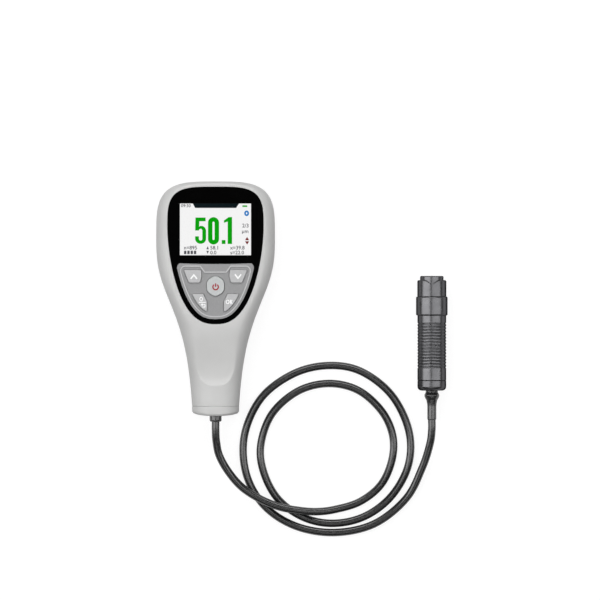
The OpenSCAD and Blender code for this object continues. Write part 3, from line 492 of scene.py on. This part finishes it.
def softMin(a, b, k):  # lower of two heights, the crease between them rounded
    h = max(k - abs(a - b), 0.0) / k
    return min(a, b) - h * h * k / 4


def frontPoint(t, y):  # t from 1.01 at the right seam over the face to -1.01 at the left
    w, c, f = max(halfWidth(y), 1e-4), max(crownUp(y), 1e-4), faceRise(y)
    n = form["handleN"] + (form["frontN"] - form["handleN"]) * swell(y)
    edge = max(form["flatLeast"], rise(1 - min(1.0, f / c) ** n, 1 / n))
    last = math.acos(edge ** (n / 2))
    side = abs(t)
    if side > 1:  # half of the seam groove
        return math.copysign(max(w - form["seam"], 0.0), t), y, form["partZ"]
    x = w * math.cos(last * (1 - side) * 2) ** (2 / n) if side > 0.5 else w * edge * side * 2
    faded = ramp(form["stopY"], form["stopY"] + form["creaseRun"], y)
    crease = form["crisp"] + (form["soft"] - form["crisp"]) * faded
    z = softMin(faceRise(y, x), c * rise(1 - (x / w) ** n, 1 / n), crease)
    return math.copysign(x, t), y, form["partZ"] + max(z, 0.0)


def span(a, b, count):
    return [a + (b - a) * i / count for i in range(count + 1)]


sideShares = [1.01, 0.998, 0.992, 0.982] + span(0.97, 0.62, 14)
sideShares += span(0.61, 0.45, 12) + span(0.42, 0.03, 13)
frontColumns = sideShares + [0.0] + [-s for s in reversed(sideShares)]
frontRows = span(form["capY"], -64, 4) + span(-63.4, form["stopY"], 30)
frontRows += span(-49, 0, 40) + span(1.2, form["headY"], 26)
headTurns = [1, 3, 6, 9, 12] + list(range(16, 69, 4))
headTurns += [71, 74, 77, 80, 82, 84, 86, 87.5, 89, 90]  # degrees, closer towards the top
headLength = form["top"] - form["headY"]
frontRows += [form["headY"] + headLength * math.sin(math.radians(a)) ** 0.5 for a in headTurns]
front = shapeGrid(frontColumns, frontRows, frontPoint)
faceOutwards(front)
if sum(p.normal.z * p.area for p in front.data.polygons) < 0:  # the face looks up
    front.data.flip_normals()
shell = front.modifiers.new("wall", "SOLIDIFY")
shell.thickness = form["wall"] * mm
shell.offset = -1.0
applyAll(front)

# fascia outline, grown by the fit, cut through the face
fasciaSpec = {"half": 30.7, "mid": 45.0, "up": 26.5, "down": 61.2, "fit": 0.1, "rim": 0.3,
              "topN": 3.8, "sideN": 2.5, "tipN": 1.7, "cutLow": 20.0, "cutHigh": 40.0}


def fasciaOutline(grow, steps=64):
    points = []
    for i in range(4 * steps):
        a = 2 * math.pi * i / (4 * steps)
        c, s = math.cos(a), math.sin(a)
        px = 2 / fasciaSpec["topN" if s >= 0 else "sideN"]
        py = 2 / fasciaSpec["topN" if s >= 0 else "tipN"]
        reach = fasciaSpec["up" if s >= 0 else "down"]
        points.append((math.copysign(abs(c) ** px, c) * (fasciaSpec["half"] + grow),
                       fasciaSpec["mid"] + math.copysign(abs(s) ** py, s) * (reach + grow)))
    return points


def prism(points, low, high):  # flat ring of points, filled and extruded upwards
    deselectAll()
    bpy.ops.mesh.primitive_circle_add(vertices=len(points), radius=1.0, fill_type="NGON")
    block = bpy.context.object
    for vertex, (x, y) in zip(block.data.vertices, points):
        vertex.co = (x * mm, y * mm, low * mm)
    thicken(block, high - low)
    return block


def cutWith(piece, cutter):
    cut = piece.modifiers.new("cut", "BOOLEAN")
    cut.operation = "DIFFERENCE"
    cut.solver = "MANIFOLD"
    cut.object = cutter
    applyAll(piece)
    bpy.data.objects.remove(cutter, do_unlink=True)


opening = prism(fasciaOutline(fasciaSpec["fit"]), fasciaSpec["cutLow"], fasciaSpec["cutHigh"])
cutWith(front, opening)
bevelEdges(front, fasciaSpec["rim"], 3, 60)
smooth(front, 35)
hand(front, "frontShell", "gauge", mouldedAbs, ("front_shell",))
print("front shell cut")

# end cap: the handle's section, closed by a gently domed end with a rounded edge
capSpec = {"dome": 82.0, "round": 1.6, "middle": 14.0, "reach": 13.0, "sides": 120}


def capPoint(share, step):  # share round the section, step from the seam to the middle of the end
    kind, amount = step
    t = share * 4
    y = form["capY"] if kind == "skin" else form["end"]
    w = halfWidth(y)
    if t < 2:  # over the face, from right to left
        a = math.pi * t / 2
        c = crownUp(y)
        along = amount if kind == "skin" else 1
        f = faceRise(form["capY"] - (form["capY"] - form["end"]) * along)
        x = math.copysign(abs(math.cos(a)) ** (2 / form["handleN"]), math.cos(a)) * w
        z = form["partZ"] + softMin(f, c * math.sin(a) ** (2 / form["handleN"]), form["soft"])
    else:  # under the back, from left to right
        a = math.pi * (t - 2) / 2
        x = -math.copysign(abs(math.cos(a)) ** (2 / form["backN"]), math.cos(a)) * w
        under = form["back"] * math.sin(a) ** (2 / form["backN"])
        z = form["partZ"] - softMin(form["partZ"] - form["heelZ"], under, form["soft"])
    middle = capSpec["middle"]
    endY = form["end"] + capSpec["dome"] - math.sqrt(capSpec["dome"] ** 2 - x * x)
    if kind == "seam":
        shrink = 1 - form["seam"] / w
        return x * shrink, form["capY"], middle + (z - middle) * shrink
    if kind == "skin":
        return x, form["capY"] + (endY + capSpec["round"] - form["capY"]) * amount, z
    if kind == "round":
        shrink = 1 - capSpec["round"] * (1 - math.cos(amount)) / capSpec["reach"]
        edgeY = endY + capSpec["round"] * (1 - math.sin(amount))
        return x * shrink, edgeY, middle + (z - middle) * shrink
    shrink = (1 - capSpec["round"] / capSpec["reach"]) * (1 - amount)
    flatY = form["end"] + capSpec["dome"] - math.sqrt(capSpec["dome"] ** 2 - (x * shrink) ** 2)
    return x * shrink, flatY, middle + (z - middle) * shrink


capSteps = [("seam", 0), ("skin", 0.05), ("skin", 0.35), ("skin", 0.7), ("skin", 1.0)]
capSteps += [("round", math.radians(a)) for a in (18, 36, 54, 72, 90)]
capSteps += [("end", s) for s in (0.15, 0.35, 0.55, 0.75, 0.9, 1.0)]
cap = shapeGrid(span(0, 1, capSpec["sides"]), capSteps, capPoint)
pick(cap)
bpy.ops.object.mode_set(mode="EDIT")
bpy.ops.mesh.select_all(action="DESELECT")
bpy.ops.mesh.select_mode(type="EDGE")
bpy.ops.mesh.select_non_manifold()
bpy.ops.mesh.edge_face_add()  # closes the end that meets the shells
faceOutwards(cap)
smooth(cap, 50)
hand(cap, "endCap", "gauge", mouldedAbs, ("end_cap",))
dressNode("rear_shell", mouldedAbs, angle=30)
dressNode("battery_door", mouldedAbs, 0.15)

# case screws: the solid's pan heads with a cross recess
screwSpec = {"places": [(28.5, 55.5), (-28.5, 55.5), (20.5, -6.0), (-20.5, -6.0)],
             "head": 0.8, "deep": 0.8, "reach": 1.25, "slot": 0.32}
screws = copyNode("case_screws")
r, s = screwSpec["reach"], screwSpec["slot"]
cross = [(r, -s), (r, s), (s, s), (s, r), (-s, r), (-s, s)]
cross += [(-a, -b) for a, b in cross]
for x, y in screwSpec["places"]:
    recess = prism([(x + a, y + b) for a, b in cross], 0, screwSpec["head"] + screwSpec["deep"])
    cutWith(screws, recess)
smooth(screws, 30)
hand(screws, "caseScrews", "gauge", screwSteel, ("case_screws",))
print("rear shell, door, end cap and screws made")

# fascia, lens and keypad
dressNode("fascia", polishedAcrylic, 0.12)
dressNode("display_window", clearAcrylic, 0.1)
dressNode("keypad_plate", plateLacquer, 0.1)
for node in ("key_up", "key_down", "key_back", "key_ok"):
    dressNode(node, keyLacquer, 0.28, 3)
dressNode("key_power", powerLacquer, 0.28, 3)

# flat ribbons along lines, each a hair above the last where they cross
strokeSpec = {"lap": 0.006, "leastMitre": 0.35}


def strokes(paths, width, low, thick):
    deselectAll()
    bpy.ops.mesh.primitive_plane_add(size=1.0)
    piece = bpy.context.object
    verts, faces = [], []
    for layer, (path, closed) in enumerate(paths):
        count = len(path)
        first = len(verts)
        for i in range(count):
            here = Vector(path[i])
            back = Vector(path[(i - 1) % count]) if closed or i else here
            ahead = Vector(path[(i + 1) % count]) if closed or i < count - 1 else here
            a = (here - back).normalized() if back != here else (ahead - here).normalized()
            b = (ahead - here).normalized() if ahead != here else a
            mitre = Vector((-(a + b).y, (a + b).x)).normalized()
            reach = width / 2 / max(strokeSpec["leastMitre"], mitre.dot(Vector((-a.y, a.x))))
            level = low + layer * strokeSpec["lap"]
            verts += [(*(here + mitre * reach), level), (*(here - mitre * reach), level)]
        for i in range(count if closed else count - 1):
            j = (i + 1) % count
            faces.append((first + 2 * i, first + 2 * i + 1, first + 2 * j + 1, first + 2 * j))
    piece.data.clear_geometry()
    piece.data.from_pydata([Vector(v) * mm for v in verts], [], faces)
    thicken(piece, thick)
    return piece


def arc(x, y, rx, ry, start, stop, count):
    turns = [math.radians(a) for a in span(start, stop, count)]
    return [(x + rx * math.cos(a), y + ry * math.sin(a)) for a in turns]


# bead: a fine raised line that runs inside the keypad's border and dips between the arrow keys; its
# lighter colour is a painted highlight, for the light its edge catches
beadSpec = {"inset": 4.8, "top": 20.85, "corner": 3.0, "notch": 9.7, "base": 6.9, "dip": 17.0,
            "width": 0.7, "low": 29.3, "thick": 0.55}


def keypadSide(inset, top):  # right side of the keypad from the bottom up to its top line
    line, points = [], fasciaOutline(0.0, 90)
    for i, (x, y) in enumerate(points):
        ax, ay = points[i - 1]
        bx, by = points[(i + 1) % len(points)]
        run = math.hypot(bx - ax, by - ay)
        line.append((x - inset * (by - ay) / run, y + inset * (bx - ax) / run))
    return sorted(((x, y) for x, y in line if x > 0 and y < top), key=lambda p: p[1])


side = keypadSide(beadSpec["inset"], beadSpec["top"] - beadSpec["corner"])
turnX, turnY = side[-1][0] - beadSpec["corner"], beadSpec["top"] - beadSpec["corner"]
half = side + arc(turnX, turnY, beadSpec["corner"], beadSpec["corner"], 12, 90, 7)
half += [(beadSpec["notch"], beadSpec["top"]), (beadSpec["base"], beadSpec["dip"])]
ring = half + [(-x, y) for x, y in reversed(half)]
bead = strokes([(ring, True)], beadSpec["width"], beadSpec["low"], beadSpec["thick"])
# the bead's light colour is a painted highlight
hand(bead, "beadHighlightRidge", "gauge", beadPaintedHighlight)
print("fascia and keypad made")

# printed legends on the keys
legendSpec = {"low": 30.18, "thick": 0.05}


def legend(name, paths, body, finish, width):
    hand(strokes(paths, width, legendSpec["low"], legendSpec["thick"]), name, body, finish)


upMark = [(-15.8, 12.7), (-13.8, 15.2), (-11.8, 12.7)]
downMark = [(12.4, 15.6), (14.4, 13.1), (16.4, 15.6)]
powerRing, powerBar = arc(0.1, 7.5, 1.75, 1.75, 125, 415, 28), [(0.1, 9.8), (0.1, 7.6)]
zeroRing, zeroBar = arc(-9.1, -0.2, 0.85, 1.2, 0, 345, 23), [(-10.7, -2.3), (-6.2, -2.3)]
backTail = [(-8.8, -3.8), (-6.6, -3.8), (-6.6, -5.3), (-8.5, -5.3)]
backTip = [(-8.3, -3.1), (-9.0, -3.8), (-8.3, -4.5)]
okRing, okStem = arc(7.8, -2.0, 0.95, 1.15, 0, 345, 23), [(9.6, -0.6), (9.6, -3.4)]
okArms = [(10.8, -0.8), (9.8, -2.0), (10.7, -3.2)]
legend("upLegend", [(upMark, False)], "key_up", legendInk, 0.95)
legend("downLegend", [(downMark, False)], "key_down", legendInk, 0.95)
legend("powerLegend", [(powerRing, False), (powerBar, False)], "key_power", powerInk, 0.85)
legend("backLegend", [(zeroRing, True), (zeroBar, False), (backTail, False), (backTip, False)],
       "key_back", legendInk, 0.5)
legend("okLegend", [(okRing, True), (okStem, False), (okArms, False)], "key_ok", legendInk, 0.55)
print("legends printed")

# picture on the display
pictureSpec = {"low": 26.6, "thick": 0.04, "bolder": 0.05}


def picture(name, paths, finish, width):
    piece = strokes(paths, width, pictureSpec["low"], pictureSpec["thick"])
    hand(piece, name, "gauge", finish)


def patch(name, points, finish):
    piece = prism(points, pictureSpec["low"], pictureSpec["low"] + pictureSpec["thick"])
    hand(piece, name, "gauge", finish)


def figures(name, words, x, y, height, finish):  # small printed figures, made mesh
    deselectAll()
    bpy.ops.object.text_add()
    lettering = bpy.context.object.data
    lettering.body = words
    lettering.size = height * mm
    lettering.resolution_u = 3
    lettering.offset = pictureSpec["bolder"] * mm
    lettering.extrude = pictureSpec["thick"] / 2 * mm
    bpy.ops.object.convert(target="MESH")
    piece = bpy.context.object
    for vertex in piece.data.vertices:
        vertex.co += Vector((x, y, pictureSpec["low"] + pictureSpec["thick"] / 2)) * mm
    mergeDoubles(piece)
    hand(piece, name, "gauge", finish)


digitFive = [(-6.3, 49.5), (-6.3, 51.9), (-12.8, 51.9), (-13.0, 43.6), (-10.6, 43.6)]
digitFive += arc(-9.5, 43.5, 1.1, 1.2, 170, 0, 8) + arc(-9.5, 38.3, 1.1, 1.1, 0, -180, 10)
digitFive += [(-10.6, 39.9), (-13.0, 39.9)] + arc(-9.5, 38.3, 3.5, 3.2, 180, 360, 16)
digitFive += arc(-9.2, 43.4, 3.2, 3.2, 0, 100, 8) + [(-10.4, 46.0), (-10.3, 49.5)]
patch("digitFive", digitFive, screenGreen)
digitZero = arc(-1.25, 48.6, 2.1, 2.1, 0, 180, 12) + arc(-1.25, 38.2, 2.1, 2.1, 180, 360, 12)
picture("digitZero", [(digitZero, True)], screenGreen, 2.85)
digitOne = [(7.8, 35.0), (10.6, 35.0), (10.6, 52.2), (8.5, 52.2)]
digitOne += [(5.4, 50.0), (5.4, 48.5), (7.8, 49.3)]
patch("digitOne", digitOne, screenGreen)
patch("digitDot", [(4.0, 35.0), (6.4, 35.0), (6.4, 37.5), (4.0, 37.5)], screenGreen)
patch("headerBar", [(-14.8, 61.4), (-13.0, 58.0), (13.2, 58.0), (15.4, 61.4)], screenDark)
patch("cellBar", [(17.2, 59.7), (17.2, 58.6), (20.3, 58.6), (20.3, 59.7)], screenLeaf)
picture("ringSign", [(arc(19.9, 54.6, 1.0, 1.25, 0, 340, 19), True)], screenBlue, 1.1)
patch("upSign", [(18.9, 37.4), (21.5, 37.4), (20.2, 39.5)], screenRed)
patch("downSign", [(18.9, 36.7), (20.2, 34.6), (21.5, 36.7)], screenRed)
figures("countFigures", "2/3", 17.0, 45.6, 3.4, screenGrey)
figures("unitFigures", "µm", 16.7, 42.0, 3.4, screenGrey)
figures("clockFigures", "09:30", -22.0, 58.5, 2.8, screenGrey)
figures("sampleFigures", "n=895", -20.2, 31.5, 3.3, screenGrey)
figures("highFigures", "58.1", -3.4, 31.5, 3.3, screenGrey)
figures("lowFigures", "0.0", -3.4, 28.4, 3.3, screenGrey)
figures("meanFigures", "x=39.8", 9.4, 31.5, 3.3, screenGrey)
figures("spreadFigures", "s=22.0", 9.4, 28.4, 3.3, screenGrey)
for i, x in enumerate((-20.1, -18.0, -15.9, -13.8)):  # level bars
    bar = [(x, 28.5), (x + 1.5, 28.5), (x + 1.5, 30.7), (x, 30.7)]
    patch("levelBar%d" % (i + 1), bar, screenGrey)
patch("maxSign", [(-5.8, 31.6), (-4.2, 31.6), (-5.0, 33.6)], screenGrey)
patch("minSign", [(-5.8, 30.6), (-5.0, 28.6), (-4.2, 30.6)], screenGrey)
print("picture drawn")

# probe: turned aluminium sleeve, collar, barrel and tail cap on one axis, the plunger in front
probeSpec = {"x": 138.4, "z": 10.1, "steps": 112, "skin": 9.2}


def turned(profile, edge):  # closed half profile of (y, radius), spun about the probe's axis
    deselectAll()
    bpy.ops.mesh.primitive_circle_add(vertices=len(profile), radius=1.0)
    piece = bpy.context.object
    for vertex, (y, r) in zip(piece.data.vertices, profile):
        vertex.co = ((probeSpec["x"] + r) * mm, y * mm, probeSpec["z"] * mm)
    bpy.ops.object.mode_set(mode="EDIT")
    bpy.ops.mesh.select_all(action="SELECT")
    bpy.ops.mesh.spin(steps=probeSpec["steps"], angle=2 * math.pi,
                      center=(probeSpec["x"] * mm, 0, probeSpec["z"] * mm), axis=(0, 1, 0))
    mergeDoubles(piece)
    faceOutwards(piece)
    if edge:
        bevelEdges(piece, edge, 2, 35)
    return piece


def roundEdge(y, r, size, start, stop):  # quarter round of a turned edge
    turns = [math.radians(a) for a in span(start, stop, 6)]
    return [(y + size * math.sin(a), r + size * math.cos(a)) for a in turns]


barrelSpec = {"grooves": 15, "firstGroove": -15.9, "pitch": 2.0, "deep": 0.38, "lip": 0.52,
              "floor": 0.24, "edge": 0.1,
              "spigot": [(-4.65, 8.0), (-4.65, 8.85), (-10.8, 8.85), (-10.8, 9.2)],
              "tail": [(-52.1, 9.2), (-52.4, 8.9), (-52.4, 7.0), (-24.45, 7.0), (-24.45, 8.0)]}
barrelLine = list(barrelSpec["spigot"])
skin, bed = probeSpec["skin"], probeSpec["skin"] - barrelSpec["deep"]
lip, floor = barrelSpec["lip"], barrelSpec["floor"]
for i in range(barrelSpec["grooves"]):
    y = barrelSpec["firstGroove"] - i * barrelSpec["pitch"]
    barrelLine += [(y + lip, skin), (y + floor, bed), (y - floor, bed), (y - lip, skin)]
barrel = turned(barrelLine + barrelSpec["tail"], barrelSpec["edge"])
smooth(barrel, 24)
hand(barrel, "barrel", "gauge", anodisedAluminium, ("probe_barrel",))

collarSpec = {"low": -10.75, "high": 1.45, "bore": 8.9, "round": 0.9}
low, high, bend = collarSpec["low"], collarSpec["high"], collarSpec["round"]
collarLine = [(low, collarSpec["bore"])] + roundEdge(low + bend, skin, bend, -90, 0)
collarLine += roundEdge(high - bend, skin, bend, 0, 90) + [(high, collarSpec["bore"])]
collar = turned(collarLine, 0)
smooth(collar, 30)
hand(collar, "collar", "gauge", anodisedAluminium, ("probe_collar",))

sleeveSpec = {"line": [(-4.55, 7.55), (-4.55, 8.85), (1.5, 8.85), (1.5, 9.3), (11.3, 9.3),
                       (11.9, 8.7), (11.9, 7.55)], "edge": 0.12,
              "notch": [(0.0, 8.9), (8.67, 13.9), (-8.67, 13.9)], "cutLow": -1.0, "cutHigh": 40.0}
sleeve = turned(sleeveSpec["line"], sleeveSpec["edge"])
notch = [(probeSpec["x"] + x, y) for x, y in sleeveSpec["notch"]]
cutWith(sleeve, prism(notch, sleeveSpec["cutLow"], sleeveSpec["cutHigh"]))
smooth(sleeve, 28)
hand(sleeve, "sleeve", "gauge", anodisedAluminium, ("probe_sleeve",))

tailSpec = {"end": -58.8, "exit": 3.9, "round": 2.6,
            "spigot": [(-52.7, 9.2), (-52.4, 8.9), (-52.4, 6.95), (-46.4, 6.95), (-46.4, 5.8),
                       (-54.4, 5.8), (-54.4, 3.9)]}
bend = tailSpec["round"]
tailLine = [(tailSpec["end"], tailSpec["exit"])]
tailLine += roundEdge(tailSpec["end"] + bend, skin - bend, bend, -90, 0) + tailSpec["spigot"]
tail = turned(tailLine, 0)
smooth(tail, 28)
hand(tail, "tailCap", "gauge", anodisedAluminium, ("tail_cap",))

plungerSpec = {"line": [(-6.55, 6.15), (-6.55, 7.9), (-4.85, 7.9), (-4.85, 7.5), (14.1, 7.5),
                        (14.6, 7.0), (14.6, 2.05), (12.9, 2.05), (12.9, 6.15)], "edge": 0.1}
plunger = turned(plungerSpec["line"], plungerSpec["edge"])
smooth(plunger, 28)
hand(plunger, "plunger", "plunger", anodisedAluminium, ("probe_plunger",))
print("probe turned")

# plunger spring, a dressed copy of the solid's spring with a mesh of its own
spring = dressNode("plunger_spring", springSteel)
low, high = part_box("plunger_spring")
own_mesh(spring)

# key mat: a silicone sheet with a dome under each key
matSpec = {"sheetTop": 23.6, "domeTop": 26.2, "foot": 3.6, "crown": 2.2, "press": 0.7, "sides": 48,
           "edge": 0.2, "clear": 40.0,
           "domes": {"key_up": (-14.6, 14.4), "key_down": (14.6, 14.4), "key_power": (0.0, 8.1),
                     "key_back": (-9.2, -1.9), "key_ok": (9.2, -1.9)}}
sheet = copyNode("key_mat")
c = matSpec["clear"]
cutWith(sheet, prism([(-c, -c), (c, -c), (c, c), (-c, c)], matSpec["sheetTop"], c))
smooth(sheet, 30)
hand(sheet, "keyMat", "gauge", padSilicone, ("key_mat",))
domeHeight = matSpec["domeTop"] - matSpec["sheetTop"]
for key, (x, y) in matSpec["domes"].items():
    deselectAll()
    middle = matSpec["sheetTop"] + domeHeight / 2
    bpy.ops.mesh.primitive_cone_add(vertices=matSpec["sides"], radius1=matSpec["foot"] * mm,
                                    radius2=matSpec["crown"] * mm, depth=domeHeight * mm,
                                    location=(x * mm, y * mm, middle * mm))
    dome = bpy.context.object
    bpy.ops.object.transform_apply(location=True, rotation=False, scale=False)
    bevelEdges(dome, matSpec["edge"], 2, 40)
    smooth(dome, 35)
    hand(dome, key + "Dome", "gauge", padSilicone, ("key_mat",))
    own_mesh(dome)
print("spring and key mat made")

# nodes whose shape is right take their finish as they are
finishes = {"lcd_frame": trayPlastic, "lcd_panel": screenWhite, "main_board": boardLaminate,
            "board_chips": chipResin, "buzzer": chipResin, "lead_connector": socketNylon,
            "board_screws": screwSteel, "batteries": cellJacket, "battery_contacts": contactBrass,
            "inner_lead": cableVinyl, "pole_core": poleSteel, "sensor_coil": coilCopper,
            "coil_bobbin": socketNylon, "coil_plug": chipResin, "spring_seat": anodisedAluminium,
            "probe_lead": leadVinyl}
for node, finish in finishes.items():
    nodes[node].data.materials.clear()
    nodes[node].data.materials.append(finish)
print("inner parts finished")

# table: white board, coated, with a soft shadow; seen direct it glows a little, so that it is white
tableSpec = {"size": 40.0, "colour": "#808080", "lift": 0.86}
deselectAll()
bpy.ops.mesh.primitive_plane_add(size=tableSpec["size"], location=(0, 0, 0))
table = bpy.context.object
table.name = "table"
whiteBoard, tree, shader = newFinish("whiteBoard", tableSpec["colour"],
                                     {"Roughness": 0.9, "Specular IOR Level": 0.0})
path = addNode(tree, "ShaderNodeLightPath")
seen = addNode(tree, "ShaderNodeMath", operation="MAXIMUM",
               links={0: path.outputs["Is Camera Ray"], 1: path.outputs["Is Glossy Ray"]})
clear = addNode(tree, "ShaderNodeMath", operation="MAXIMUM",
                links={0: seen.outputs["Value"], 1: path.outputs["Is Transmission Ray"]})
lift = addNode(tree, "ShaderNodeMath", {1: tableSpec["lift"]}, {0: clear.outputs["Value"]},
               operation="MULTIPLY")
tree.links.new(lift.outputs["Value"], shader.inputs["Emission Strength"])
shader.inputs["Emission Color"].default_value = (1, 1, 1, 1)
table.data.materials.append(whiteBoard)

# studio: strong soft boxes at the left and the head, weaker ones at the right and the foot
studio = {"target": (0.054, 0.0, 0.0), "room": 0.06, "boxes": [  # metres and watts
    ("leftBox", (-0.78, 0.0, 0.9), (1.6, 0.45), 8.3),
    ("rightBox", (0.75, 0.0, 0.95), (1.6, 0.35), 5.0),
    ("headBox", (0.054, 0.95, 0.7), (1.4, 0.35), 8.6),
    ("footBox", (0.054, -0.7, 0.95), (1.4, 0.35), 1.9)]}
for name, place, size, watts in studio["boxes"]:
    deselectAll()
    bpy.ops.object.light_add(type="AREA", location=place)
    lamp = bpy.context.object
    lamp.name = name
    lamp.data.shape = "RECTANGLE"
    lamp.data.size, lamp.data.size_y = size
    lamp.data.energy = watts
    aim = Vector(studio["target"]) - Vector(place)
    lamp.rotation_euler = aim.to_track_quat("-Z", "Y" if abs(place[1]) > 0.5 else "X").to_euler()
room = bpy.data.worlds.new("room")
scene.world = room
room.use_nodes = True
room.node_tree.nodes["Background"].inputs["Color"].default_value = (1, 1, 1, 1)
room.node_tree.nodes["Background"].inputs["Strength"].default_value = studio["room"]
print("studio lit")
